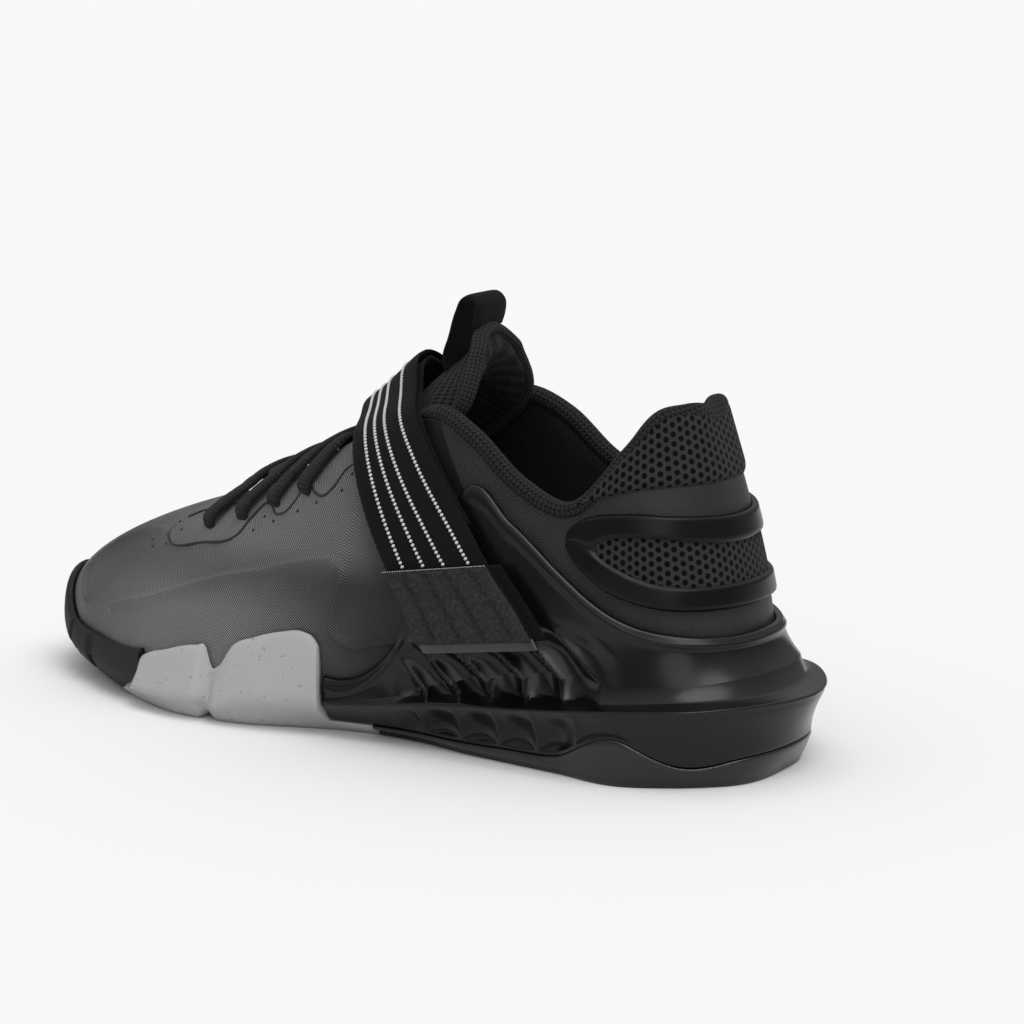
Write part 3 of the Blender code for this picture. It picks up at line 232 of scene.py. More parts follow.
class Form:
    """The last and the sole's walls, read anywhere round the shoe.

    u is a distance round the feather line in metres, from the back of the heel over the outer side to
    the toe and back along the inner side. v runs from 0 at the footbed to 1 at the top edge.
    """

    def __init__(self) -> None:
        """Sets out the tables round the shoe."""
        self.edge = around([(x_at(r.x), r.outer * BALL_WIDTH) for r in LAST],
                           [(x_at(r.x + r.skew), -r.inner * BALL_WIDTH) for r in LAST])
        steps = [np.hypot(b[0] - a[0], b[1] - a[1]) for a, b in zip(self.edge, self.edge[1:] + self.edge[:1])]
        self.keys = np.concatenate(([0.0], np.cumsum(steps)[:-1]))
        self.round = float(sum(steps))
        self.top = around([(x_at(r.top_x), r.top_outer * BALL_WIDTH, r.top_z * ANKLE_HEIGHT) for r in LAST],
                          [(x_at(r.top_x), -r.top_inner * BALL_WIDTH, r.top_z * ANKLE_HEIGHT) for r in LAST])
        handles = [(r.rise * ANKLE_HEIGHT, r.lean * BALL_WIDTH, r.reach * ANKLE_HEIGHT, radians(r.fall))
                   for r in LAST]
        self.handles = around(handles, handles)
        self.walls = around(*[[(getattr(r, foot) * BALL_WIDTH, r.part * HEEL_LIFT, r.ridge * BALL_WIDTH,
                                r.ridge_z * HEEL_LIFT, r.wall * BALL_WIDTH, r.rim * ANKLE_HEIGHT)
                               for r in SOLE] for foot in ("foot_outer", "foot_inner")])
        half = self.keys[len(LAST) - 1]
        self.side_maps = {}
        for side in (1, -1):
            u = np.linspace(0 if side > 0 else self.round, half, SIDE_SAMPLES)
            x = np.maximum.accumulate(self.read(self.edge, u)[:, 0])
            tops = np.maximum.accumulate(self.read(self.top, u)[:, 0])
            lift = np.arange(SIDE_SAMPLES) * NUDGE
            self.side_maps[side] = (x + lift, tops + lift, u)

    def read(self, table: list, u: Array) -> Array:
        """A ring table at distances round the shoe."""
        return spread(table, self.keys, u, self.round)

    def station(self, share: float, side: int) -> float:
        """Distance round the shoe where the feather line has this length on one side."""
        x, _, u = self.side_maps[side]
        return float(np.interp(x_at(share), x, u))

    def throat_station(self, share: float, side: int) -> float:
        """Distance round the shoe where the top edge has this length on one side."""
        _, x, u = self.side_maps[side]
        return float(np.interp(x_at(share), x, u))

    def feather(self, u: Array) -> tuple[Array, Array]:
        """Points on the feather line and its outward normals, seen from above."""
        step = self.round / 4000
        run = self.read(self.edge, np.asarray(u) + step) - self.read(self.edge, np.asarray(u) - step)
        normal = np.stack((-run[:, 1], run[:, 0]), 1)
        return self.read(self.edge, u), unit(normal)

    def wall(self, u: Array) -> Array:
        """The sole's walls round the shoe: foot, part, ridge, ridge height, wall and rim."""
        return self.read(self.walls, u)

    def point(self, u: Array, v: Array) -> Array:
        """Point on the last's outer surface."""
        u, v = columns_of(u, v)
        base, out = self.feather(u)
        top = self.read(self.top, u)
        rise, lean, reach, fall = self.read(self.handles, u).T
        p0 = np.column_stack((base, footbed(base[:, 0]) + GAP))
        p1 = p0 + np.column_stack((out * lean[:, None], rise))
        away = base - top[:, :2]
        flat = np.linalg.norm(away, axis=1, keepdims=True)
        blend = np.clip(flat / (0.25 * BALL_WIDTH), 0, 1)
        away = out * (1 - blend) + away / np.maximum(flat, NUDGE) * blend
        away = unit(away)
        p2 = top + np.column_stack((away * (reach * np.cos(fall))[:, None], -reach * np.sin(fall)))
        v = v[:, None]
        w = 1 - v
        return w ** 3 * p0 + 3 * w * w * v * p1 + 3 * w * v * v * p2 + v ** 3 * top

    def normal(self, u: Array, v: Array) -> Array:
        """Outward normal of the last."""
        u, v = columns_of(u, v)
        du, dv = self.round / 3000, 1 / 1000
        along = self.point(u + du, v) - self.point(u - du, v)
        upward = self.point(u, np.clip(v + dv, 0, 1)) - self.point(u, np.clip(v - dv, 0, 1))
        normal = np.cross(upward, along)
        return unit(normal)

    def lifted(self, u: Array, v: Array, lift: Union[Array, float]) -> Array:
        """Point at a distance out from the last."""
        u, v, lift = columns_of(u, v, lift)
        return self.point(u, v) + self.normal(u, v) * lift[:, None]

    def v_at_height(self, u: Array, z: Array) -> Array:
        """v at which the sections at u reach the heights z."""
        u, z = columns_of(u, z)
        n = SECTION_SAMPLES
        v = np.linspace(0, 1, n)
        heights = self.point(np.repeat(u, n), np.tile(v, len(u)))[:, 2].reshape(-1, n)
        heights = np.maximum.accumulate(heights, axis=1) + np.arange(n) * NUDGE
        return np.array([np.interp(level, row, v) for level, row in zip(z, heights)])

    def v_below_edge(self, u: Array, distance: Array) -> Array:
        """v at distances down the sections from the top edge."""
        u, distance = columns_of(u, distance)
        n = EDGE_SAMPLES
        v = np.linspace(1, 0, n)
        points = self.point(np.repeat(u, n), np.tile(v, len(u))).reshape(-1, n, 3)
        runs = np.linalg.norm(np.diff(points, axis=1), axis=2).cumsum(axis=1)
        return np.array([np.interp(d, np.concatenate(([0], run)), v) for d, run in zip(distance, runs)])


FORM = Form()


# Mesh helpers

def make_mesh(name: str, points: Array, faces: list, uvs: Optional[Array] = None,
              zones: Optional[list] = None) -> Object:
    """Object from points and faces.

    Args:
        name: Name of the piece.
        points: Vertex positions in metres.
        faces: Vertex numbers of each face.
        uvs: Pattern coordinates in metres, one pair for each vertex.
        zones: Material number of each face.

    Returns:
        The linked object.
    """
    mesh = bpy.data.meshes.new(name)
    mesh.from_pydata(np.asarray(points, float).tolist(), [], [list(map(int, f)) for f in faces])
    if uvs is not None:
        layer = mesh.uv_layers.new(name="cloth")
        loops = np.zeros(len(mesh.loops), np.int32)
        mesh.loops.foreach_get("vertex_index", loops)
        layer.data.foreach_set("uv", np.asarray(uvs, np.float32)[loops].ravel())
    if zones is not None:
        mesh.polygons.foreach_set("material_index", zones)
    shape = bmesh.new()
    shape.from_mesh(mesh)
    bmesh.ops.remove_doubles(shape, verts=shape.verts, dist=2e-6)
    bmesh.ops.dissolve_degenerate(shape, edges=shape.edges, dist=1e-6)
    bmesh.ops.recalc_face_normals(shape, faces=shape.faces)
    shape.to_mesh(mesh)
    shape.free()
    mesh.polygons.foreach_set("use_smooth", [True] * len(mesh.polygons))
    body = bpy.data.objects.new(name, mesh)
    bpy.context.scene.collection.objects.link(body)
    return body


def grid_faces(rows: int, columns: int, start: int = 0, wrap_rows: bool = False,
               wrap_columns: bool = False) -> list:
    """Quads of a grid of points that is stored row by row."""
    faces = []
    for r in range(rows if wrap_rows else rows - 1):
        a, b = start + r * columns, start + (r + 1) % rows * columns
        for c in range(columns if wrap_columns else columns - 1):
            d = (c + 1) % columns
            faces.append((a + c, a + d, b + d, b + c))
    return faces


def tube_faces(rows: int, columns: int) -> list:
    """Faces of a tube of rings that are stored one by one, with both ends closed."""
    last = (rows - 1) * columns
    return grid_faces(rows, columns, wrap_columns=True) + [list(range(columns))[::-1],
                                                           list(range(last, last + columns))]


def ring_faces(profiles: int, points: int) -> list:
    """Faces across the shoe that close the first and the last point of all profiles round it."""
    faces = []
    for end in (0, points - 1):
        for i in range(profiles // 2 - 1):
            a, b = i * points + end, (profiles - 1 - i) * points + end
            faces.append((a, a + points, b - points, b))
    return faces


def slab(name: str, outer: Array, inner: Array, uv: Array) -> Object:
    """Closed piece between two grids of points of equal size.

    Args:
        name: Name of the piece.
        outer: Grid of the face, rows by columns by 3.
        inner: Grid of the back.
        uv: Pattern coordinates of the grid, rows by columns by 2.

    Returns:
        The object.
    """
    rows, columns = outer.shape[:2]
    points = np.concatenate((outer.reshape(-1, 3), inner[::-1].reshape(-1, 3)))
    uvs = np.concatenate((uv.reshape(-1, 2), uv[::-1].reshape(-1, 2)))
    faces = grid_faces(2 * rows, columns, wrap_rows=True)
    for c in (0, columns - 1):
        for r in range(rows - 1):
            a, b = r * columns + c, (r + 1) * columns + c
            back, back_next = (2 * rows - 1 - r) * columns + c, (2 * rows - 2 - r) * columns + c
            faces.append((a, b, back_next, back))
    return make_mesh(name, points, faces, uvs)


def crossed_ring(name: str, profiles: Array) -> Object:
    """Solid through profiles that run round the shoe, closed across at both ends of each profile.

    Args:
        name: Name of the piece.
        profiles: Points, columns by profile by 3; column i lies across from column n - 1 - i.

    Returns:
        The object.
    """
    n, m = profiles.shape[:2]
    faces = grid_faces(n, m) + ring_faces(n, m)
    faces.append(list(range(m)) + list(range((n - 1) * m, n * m))[::-1])
    return make_mesh(name, profiles.reshape(-1, 3), faces)


def swept(name: str, path: Array, outline: Callable[[float], Array], up: Array,
          closed: bool = False) -> Object:
    """Tube of a given outline along a path.

    Args:
        name: Name of the piece.
        path: Points along the middle.
        outline: Gives the outline at a share of the path, points in the side and up directions.
        up: Up direction at each point.
        closed: Whether the path is a ring.

    Returns:
        The object.
    """
    path = np.asarray(path, float)
    n = len(path)
    along = np.roll(path, -1, 0) - np.roll(path, 1, 0) if closed else np.gradient(path, axis=0)
    along = unit(along)
    side = unit(np.cross(along, up))
    lift = np.cross(side, along)
    shapes = np.array([outline(k / (n - 1)) for k in range(n)])
    points = path[:, None] + shapes[..., :1] * side[:, None] + shapes[..., 1:] * lift[:, None]
    run = runs_along(path)
    girth = np.linalg.norm(shapes - np.roll(shapes, 1, axis=1), axis=2).cumsum(axis=1)
    uv = np.stack((np.broadcast_to(run[:, None], girth.shape), girth), 2)
    m = shapes.shape[1]
    faces = grid_faces(n, m, wrap_rows=True, wrap_columns=True) if closed else tube_faces(n, m)
    return make_mesh(name, points.reshape(-1, 3), faces, uv.reshape(-1, 2))


def rounded(width: float, height: float, power: float = 2.6, sides: int = 16) -> Array:
    """Outline of a rounded bar, wide in the side direction."""
    angle = np.linspace(0, 2 * pi, sides, endpoint=False)
    c, s = np.cos(angle), np.sin(angle)
    return np.column_stack((width / 2 * np.sign(c) * np.abs(c) ** (2 / power),
                            height / 2 * np.sign(s) * np.abs(s) ** (2 / power)))


def smooth_path(points: Sequence, count: int) -> Array:
    """Even points along a smooth curve through the given ones."""
    points = np.asarray(points, float)
    keys = runs_along(points)
    fine = spread(points, keys, np.linspace(0, keys[-1], count * 4))
    runs = runs_along(fine)
    even = np.linspace(0, runs[-1], count)
    return np.column_stack([np.interp(even, runs, fine[:, k]) for k in range(points.shape[1])])


# Shading

def operator(operation: str, swapped: bool = False) -> Callable:
    """Method of Wire that adds a math node, with the other value first where swapped."""

    def apply(wire: "Wire", other: Union["Wire", float]) -> "Wire":
        """Math node on the wire and the other value."""
        return wire.maths(operation, *((other, wire) if swapped else (wire, other)))

    return apply


class Wire:
    """A number or colour socket that takes part in expressions."""

    def __init__(self, paint: "Paint", socket: NodeSocket) -> None:
        """Keeps the socket and the paint that it belongs to."""
        self.paint = paint
        self.socket = socket

    def maths(self, operation: str, *values: Union["Wire", float]) -> "Wire":
        """Math node on these values."""
        node = self.paint.node("ShaderNodeMath", {"operation": operation}, dict(enumerate(values)))
        return Wire(self.paint, node.outputs[0])

    __add__ = operator("ADD")
    __radd__ = operator("ADD", swapped=True)
    __sub__ = operator("SUBTRACT")
    __rsub__ = operator("SUBTRACT", swapped=True)
    __mul__ = operator("MULTIPLY")
    __rmul__ = operator("MULTIPLY", swapped=True)
    __truediv__ = operator("DIVIDE")

    def cosine(self) -> "Wire":
        """Cosine."""
        return self.maths("COSINE", self)

    def wave(self, pitch: float) -> "Wire":
        """Even wave from 0 to 1 with a crest at each pitch."""
        return ((self * (2 * pi / pitch)).cosine() + 1) / 2

    def step(self, low: float, high: float) -> "Wire":
        """Soft step from 0 at low to 1 at high."""
        node = self.paint.node("ShaderNodeMapRange", {"interpolation_type": "SMOOTHSTEP"},
                               {"Value": self, "From Min": low, "From Max": high})
        return Wire(self.paint, node.outputs[0])


Value = Union[Wire, float, tuple, NodeSocket]


def feed(tree: NodeTree, socket: NodeSocket, value: Value) -> None:
    """Links or sets a socket."""
    if isinstance(value, Wire):
        value = value.socket
    if isinstance(value, NodeSocket):
        tree.links.new(value, socket)
    else:
        socket.default_value = (*value, 1.0) if socket.type == "RGBA" and len(value) == 3 else value


def add_node(tree: NodeTree, kind: str, settings: dict, inputs: dict) -> Node:
    """One node.

    Args:
        tree: Tree that gets the node.
        kind: Node type.
        settings: Properties, set first.
        inputs: Values, wires or sockets by socket name or number.

    Returns:
        The node.
    """
    made = tree.nodes.new(kind)
    for key, value in settings.items():
        setattr(made, key, value)
    for key, value in inputs.items():
        feed(tree, made.inputs[key], value)
    return made


def toned(color: tuple, factor: float) -> tuple:
    """A colour made darker or paler."""
    return tuple(c * factor for c in color)


class Paint:
    """Builds one material's nodes."""

    def __init__(self, name: str) -> None:
        """Starts a material with its shader."""
        self.material = bpy.data.materials.new(name)
        self.material.use_nodes = True
        self.tree = self.material.node_tree
        self.shader = self.tree.nodes["Principled BSDF"]

    def node(self, kind: str, settings: dict, inputs: dict) -> Node:
        """One node of this material."""
        return add_node(self.tree, kind, settings, inputs)

    def cloth(self) -> tuple[Wire, Wire]:
        """The piece's own pattern coordinates in millimetres: along and up."""
        place = self.node("ShaderNodeUVMap", {"uv_map": "cloth"}, {})
        parts = self.node("ShaderNodeSeparateXYZ", {}, {0: Wire(self, place.outputs[0])})
        return Wire(self, parts.outputs[0]) * 1000.0, Wire(self, parts.outputs[1]) * 1000.0

    def place(self) -> tuple[Wire, Wire, Wire]:
        """Object coordinates in millimetres."""
        spot = self.node("ShaderNodeTexCoord", {}, {})
        parts = self.node("ShaderNodeSeparateXYZ", {}, {0: Wire(self, spot.outputs["Object"])})
        x, y, z = (Wire(self, parts.outputs[k]) * 1000.0 for k in range(3))
        return x, y, z

    def noise(self, scale: float, detail: float = 2.0, rough: float = .5) -> Wire:
        """Seeded noise on Object coordinates, scale in features a metre."""
        spot = self.node("ShaderNodeTexCoord", {}, {})
        made = self.node("ShaderNodeTexNoise", {}, {"Vector": Wire(self, spot.outputs["Object"]),
                                                    "Scale": scale, "Detail": detail, "Roughness": rough})
        return Wire(self, made.outputs[0])

    def mix(self, factor: Value, a: Value, b: Value) -> Wire:
        """Blend of two colours."""
        made = self.node("ShaderNodeMix", {"data_type": "RGBA"}, {0: factor, 6: a, 7: b})
        return Wire(self, made.outputs[2])

    def bump(self, height: Wire, depth: float, strength: float = 1.0) -> None:
        """Relief of the surface, depth in metres."""
        made = self.node("ShaderNodeBump", {}, {"Height": height, "Distance": depth, "Strength": strength})
        self.tree.links.new(made.outputs[0], self.shader.inputs["Normal"])

    def finish(self, **sockets: Value) -> Material:
        """Sets the shader's sockets, with underscores for spaces, and gives the material."""
        for key, value in sockets.items():
            feed(self.tree, self.shader.inputs[key.replace("_", " ")], value)
        return self.material


def hexagons(a: Wire, b: Wire, pitch: float) -> Wire:
    """Field that peaks at 1 on a hexagonal lattice of this pitch and falls to 0 between."""
    k = 4 * pi / (pitch * 3 ** .5)
    first = (a * k).cosine()
    second = (a * (k / 2) + b * (k * 3 ** .5 / 2)).cosine()
    third = (a * (k / 2) - b * (k * 3 ** .5 / 2)).cosine()
    return (first + second + third + 1.5) / 4.5


@dataclass(frozen=True)
class CoatedTwill:
    """Woven upper under a clear film: fine diagonal weave and soft gloss, with a painted sheen low on the
    forefoot and a painted highlight high on the upper from the instep forward.
    """

    deep: tuple = (.0025, .0025, .003)
    pale: tuple = (.115, .115, .118)
    pitch: float = .95
    # Pale tone of the painted sheen that the film turns toward.
    painted_sheen_tone: float = .50

    def make(self) -> Material:
        """The material."""
        p = Paint("coated_twill")
        a, b = p.cloth()
        x, _, z = p.place()
        twill = (a + b).wave(self.pitch)
        weave = twill * (.15 + .85 * (a - b).wave(self.pitch))
        # Where the painted sheen lies: low on the forefoot's side, weaker toward the tip and higher up; the
        # film is also a little less rough there.
        fore = x.step(78.0, 140.0) * (1 - .50 * x.step(165.0, 215.0)) * (1 - .45 * z.step(34.0, 50.0))
        cloudy = p.noise(60.0, 3.0)
        base = p.mix(weave * (.35 + cloudy * .6), self.deep, self.pale)
        # A painted highlight: paler film high on the upper from the instep forward, round the eyestay, where
        # the forefoot sheen is weak.
        painted_highlight = x.step(70.0, 96.0) * z.step(50.0, 62.0) * .45
        # Strength of the painted sheen and painted highlight, strongest on the weave's raised threads.
        sheen = (fore * .62 + (1 - fore) * painted_highlight) * (.04 + 1.35 * weave)
        # Film colour blended toward the pale painted sheen tone.
        film = p.mix(sheen, base, (self.painted_sheen_tone, self.painted_sheen_tone, self.painted_sheen_tone * 1.03))
        # A smooth near-black patch on the film behind the strap's upper end, with the weave's relief left out.
        near_black_patch = (x - z * .62 + .2).step(-.6, .4) * (1 - x.step(76.0, 82.0)) * z.step(80.0, 84.0)
        p.bump(weave * (1 - near_black_patch) + p.noise(9000.0) * .25, .00018, .8)
        return p.finish(Base_Color=p.mix(near_black_patch, film, (.005, .005, .005)),
                        Roughness=.42 + .14 * weave - fore * .07, Coat_Weight=.04, Coat_Roughness=.3,
                        Specular_IOR_Level=.16)


@dataclass(frozen=True)
class SpacerMesh:
    """Open knitted mesh with round holes."""

    name: str = "spacer_mesh"
    pitch: float = 2.6
    thread: tuple = (.050, .050, .051)
    hole: tuple = (.0012, .0012, .0012)

    def make(self) -> Material:
        """The material."""
        p = Paint(self.name)
        a, b = p.cloth()
        hole = hexagons(a, b, self.pitch).step(.30, .46)
        knit = hexagons(a + b * .3, b - a * .3, .52)
        color = p.mix(hole, p.mix(knit, (self.thread[0] * .35,) * 3, self.thread), self.hole)
        p.bump(knit * .22 - hole, .00045, .8)
        return p.finish(Base_Color=color, Roughness=.93, Sheen_Weight=.03, Specular_IOR_Level=.1)


@dataclass(frozen=True)
class Knit:
    """Soft knitted textile with short rows of loops."""

    name: str = "knit"
    color: tuple = (.016, .016, .017)
    wale: float = 1.3
    course: float = 1.3
    depth: float = .0004

    def make(self) -> Material:
        """The material."""
        p = Paint(self.name)
        a, b = p.cloth()
        loops = ((a * (2 * pi / self.course) + (b * (2 * pi / self.wale)).cosine() * 1.2).cosine() + 1) / 2
        ribs = b.wave(self.wale)
        relief = loops * .6 + ribs * .4
        dark = toned(self.color, .12)
        p.bump(relief + p.noise(3000.0) * .3, self.depth, .8)
        return p.finish(Base_Color=p.mix(relief, dark, self.color), Roughness=.95, Sheen_Weight=.04,
                        Specular_IOR_Level=.1)


@dataclass(frozen=True)
class Webbing:
    """Elastic webbing: close ribs along it and fine picks across."""

    name: str = "webbing"
    color: tuple = (.0075, .0075, .008)
    rib: float = .85
    pick: float = .55

    def make(self) -> Material:
        """The material."""
        p = Paint(self.name)
        a, b = p.cloth()
        ribs = b.wave(self.rib)
        picks = ((a * (2 * pi / self.pick) + (b * (pi / self.rib)).cosine() * 2.5).cosine() + 1) / 2
        relief = ribs * .5 + picks * .5
        dark = toned(self.color, .25)
        p.bump(relief + p.noise(5000.0) * .4, .00014, .7)
        return p.finish(Base_Color=p.mix(relief * (.6 + p.noise(300.0) * .6), dark, self.color),
                        Roughness=.88, Sheen_Weight=.02, Specular_IOR_Level=.12)


@dataclass(frozen=True)
class Moulding:
    """Moulded rubber or plastic with a fine skin and slight wear."""

    name: str
    color: tuple
    rough: float
    grain: float = 4000.0
    depth: float = .00003
    mottle: float = .25
    specular: float = .2

    def make(self) -> Material:
        """The material."""
        p = Paint(self.name)
        cloud = p.noise(90.0, 4.0)
        pale, dark = toned(self.color, 1 + self.mottle), toned(self.color, 1 - self.mottle)
        p.bump(p.noise(self.grain, 3.0, .7), self.depth, .5)
        return p.finish(Base_Color=p.mix(cloud, dark, pale), Roughness=self.rough + (cloud - .5) * .12,
                        Specular_IOR_Level=self.specular)


@dataclass(frozen=True)
class GrainedClip:
    """Pale grey moulding with a fine diagonal grain and a few dark specks."""

    color: tuple = (.40, .40, .405)
    pitch: float = .9

    def make(self) -> Material:
        """The material."""
        p = Paint("clip_grey")
        x, y, z = p.place()
        lines = (x * .8 + z * 1.1 + y * .2).wave(self.pitch)
        specks = p.noise(650.0, 1.0).step(.70, .74)
        cloud = p.noise(60.0, 3.0)
        dark = toned(self.color, .90)
        pale = toned(self.color, 1.06)
        base = p.mix(lines * .35 + cloud * .45, dark, pale)
        p.bump(lines * .6 + p.noise(6000.0) * .4, .00003, .5)
        return p.finish(Base_Color=p.mix(specks * .55, base, (.10, .10, .10)), Roughness=.56 + .08 * lines,
                        Specular_IOR_Level=.4)


@dataclass(frozen=True)
class Thread:
    """Plain spun thread."""

    name: str
    color: tuple
    rough: float = .8

    def make(self) -> Material:
        """The material."""
        p = Paint(self.name)
        grain = p.noise(4000.0, 2.0)
        p.bump(grain, .00005, .6)
        dark = toned(self.color, .75)
        return p.finish(Base_Color=p.mix(grain, dark, self.color), Roughness=self.rough)


@dataclass(frozen=True)
class RibbedMesh:
    """Knitted mesh of the tongue with slanted rows of small holes."""

    color: tuple = (.032, .032, .034)
    row: float = 2.9

    def make(self) -> Material:
        """The material."""
        p = Paint("tongue_mesh")
        a, b = p.cloth()
        ribs = (b + a * .35).wave(self.row)
        holes = ((a * (2 * pi / 1.5)).cosine() * .5 + ribs * .5).step(.42, .70)
        knit = hexagons(a, b, .5)
        dark = toned(self.color, .35)
        ground = p.mix(knit * .6 + (1 - ribs) * .4, dark, self.color)
        color = p.mix(holes, ground, (.002, .002, .002))
        p.bump(knit * .2 - holes * .7 - ribs * .5, .0008, .9)
        return p.finish(Base_Color=color, Roughness=.95, Sheen_Weight=.04, Specular_IOR_Level=.1)


@dataclass(frozen=True)
class PatchSkin:
    """Textured soft moulding of the strap's end patch."""

    color: tuple = (.036, .036, .038)

    def make(self) -> Material:
        """The material."""
        p = Paint("patch_skin")
        a, b = p.cloth()
        pebble = hexagons(a, b, .9)
        cloud = p.noise(800.0, 4.0, .7).step(.36, .64)
        p.bump(pebble * .3 + cloud, .00040, .9)
        dark = toned(self.color, .3)
        return p.finish(Base_Color=p.mix(cloud * .7 + pebble * .3, dark, self.color), Roughness=.6,
                        Specular_IOR_Level=.22)


# Instanced details

class Trees:
    """Geometry Nodes trees that repeat small pieces along curves or at points."""

    @classmethod
    def _opened(cls, name: str, sizes: tuple) -> tuple[NodeTree, Node]:
        """New tree whose inputs are a geometry and these sizes, with its entry node."""
        tree = bpy.data.node_groups.new(name, "GeometryNodeTree")
        tree.interface.new_socket("Geometry", in_out="INPUT", socket_type="NodeSocketGeometry")
        for size in sizes:
            tree.interface.new_socket(size, in_out="INPUT", socket_type="NodeSocketFloat")
        tree.interface.new_socket("Geometry", in_out="OUTPUT", socket_type="NodeSocketGeometry")
        return tree, add_node(tree, "NodeGroupInput", {}, {})

    @classmethod
    def _laid(cls, tree: NodeTree, inputs: dict, size: tuple,
              finish: Material) -> NodeTree:
        """Ends a tree: lays its small piece at its points, makes it real and dyes it.

        Args:
            tree: The tree.
            inputs: Sockets of the points, the piece and its turn.
            size: Sockets of the piece's three sizes.
            finish: Its material.

        Returns:
            The tree.
        """
        scale = add_node(tree, "ShaderNodeCombineXYZ", {}, dict(enumerate(size)))
        laid = add_node(tree, "GeometryNodeInstanceOnPoints", {}, {**inputs, "Scale": scale.outputs[0]})
        real = add_node(tree, "GeometryNodeRealizeInstances", {}, {0: laid.outputs[0]})
        dyed = add_node(tree, "GeometryNodeSetMaterial", {},
                        {"Geometry": real.outputs[0], "Material": finish})
        add_node(tree, "NodeGroupOutput", {}, {0: dyed.outputs[0]})
        return tree

    @classmethod
    def stitches(cls, finish: Material) -> NodeTree:
        """Tree that lays short stitches along the edges of its input.

        Args:
            finish: Material of the stitches.

        Returns:
            The tree, with inputs Spacing, Length and Width.
        """
        tree, entry = cls._opened("stitch_row", ("Spacing", "Length", "Width"))
        curve = add_node(tree, "GeometryNodeMeshToCurve", {}, {0: entry.outputs["Geometry"]})
        points = add_node(tree, "GeometryNodeCurveToPoints", {"mode": "LENGTH"},
                          {"Curve": curve.outputs[0], "Length": entry.outputs["Spacing"]})
        grain = add_node(tree, "GeometryNodeMeshUVSphere", {}, {"Segments": 8, "Rings": 5, "Radius": .5})
        inputs = {"Points": points.outputs["Points"], "Instance": grain.outputs["Mesh"],
                  "Rotation": points.outputs["Rotation"]}
        width = entry.outputs["Width"]
        return cls._laid(tree, inputs, (width, width, entry.outputs["Length"]), finish)

    @classmethod
    def discs(cls, finish: Material) -> NodeTree:
        """Tree that sets a flat disc at each point of its input, turned by the attribute facing.

        Args:
            finish: Material of the discs.

        Returns:
            The tree, with inputs Width and Depth.
        """
        tree, entry = cls._opened("perforations", ("Width", "Depth"))
        facing = add_node(tree, "GeometryNodeInputNamedAttribute", {"data_type": "FLOAT_VECTOR"},
                          {"Name": "facing"})
        turn = add_node(tree, "FunctionNodeAlignRotationToVector", {"axis": "Z"},
                        {"Vector": facing.outputs[0]})
        disc = add_node(tree, "GeometryNodeMeshCylinder", {}, {"Vertices": 12, "Radius": .5, "Depth": 1.0})
        inputs = {"Points": entry.outputs["Geometry"], "Instance": disc.outputs["Mesh"],
                  "Rotation": turn.outputs[0]}
        width = entry.outputs["Width"]
        return cls._laid(tree, inputs, (width, width, entry.outputs["Depth"]), finish)

    @staticmethod
    def grown(name: str, points: Array, tree: NodeTree, joined: bool, facing: Optional[Array] = None,
              **sizes: float) -> Object:
        """Plain mesh that a tree makes from points.

        Args:
            name: Name of the piece.
            points: Points, or several rows of points for joined lines.
            tree: The tree.
            joined: Whether the points of a row are joined by edges.
            facing: Direction at each point.
            sizes: Values of its named inputs.

        Returns:
            The object.
        """
        rows = points if isinstance(points, list) else [points]
        spots, edges = [], []
        for row in rows:
            if joined:
                edges += [(len(spots) + k, len(spots) + k + 1) for k in range(len(row) - 1)]
            spots += np.asarray(row, float).tolist()
        mesh = bpy.data.meshes.new(name)
        mesh.from_pydata(spots, edges, [])
        if facing is not None:
            attribute = mesh.attributes.new("facing", "FLOAT_VECTOR", "POINT")
            attribute.data.foreach_set("vector", np.asarray(facing, np.float32).ravel())
        seed = bpy.data.objects.new(name + "_seed", mesh)
        bpy.context.scene.collection.objects.link(seed)
        grower = seed.modifiers.new("grow", "NODES")
        grower.node_group = tree
        sockets = {s.name: s.identifier for s in tree.interface.items_tree if s.item_type == "SOCKET"
                   and s.in_out == "INPUT"}
        for key, value in sizes.items():
            grower[sockets[key]] = value
        bpy.context.view_layer.update()
        shape = bpy.data.meshes.new_from_object(seed.evaluated_get(bpy.context.evaluated_depsgraph_get()))
        bpy.data.objects.remove(seed)
        body = bpy.data.objects.new(name, shape)
        bpy.context.scene.collection.objects.link(body)
        shape.polygons.foreach_set("use_smooth", [True] * len(shape.polygons))
        return body


def settle(piece: Object, slot: str, *nodes: str, finish: Optional[Material] = None,
           fill: Optional[float] = None) -> Object:
    """Puts a finished piece on the shoe.

    Args:
        piece: The piece.
        slot: Not used.
        nodes: CAD nodes that it stands for.
        finish: Its material, where it has one.
        fill: Not used.

    Returns:
        The piece.
    """
    if finish is not None:
        piece.data.materials.clear()
        piece.data.materials.append(finish)
    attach(piece, "root")
    if nodes:
        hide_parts(*nodes)
    LOG.info("%s: %d faces", piece.name, len(piece.data.polygons))
    return piece


def board_out(foot: Array) -> Array:
    """Offset of the board's lower edge from the feather line."""
    return np.minimum(0.0, .72 * foot - FOOT_BEVEL)


def search_tree(points: Array) -> KDTree:
    """Tree that finds the nearest of these points."""
    tree = KDTree(len(points))
    for k, p in enumerate(points):
        tree.insert(p, k)
    tree.balance()
    return tree


def off_feather(u: Array, out: Array, z: Array) -> Array:
    """Points at an offset out from the feather line and a height."""
    base, normal = FORM.feather(u)
    n = len(base)
    return np.column_stack((base + normal * np.broadcast_to(out, n)[:, None], np.broadcast_to(z, n)))


class Edge(Enum):
    """How a place on the upper is given."""

    BELOW = "millimetres below the top edge"
    SHARE = "share of the section from the sole"


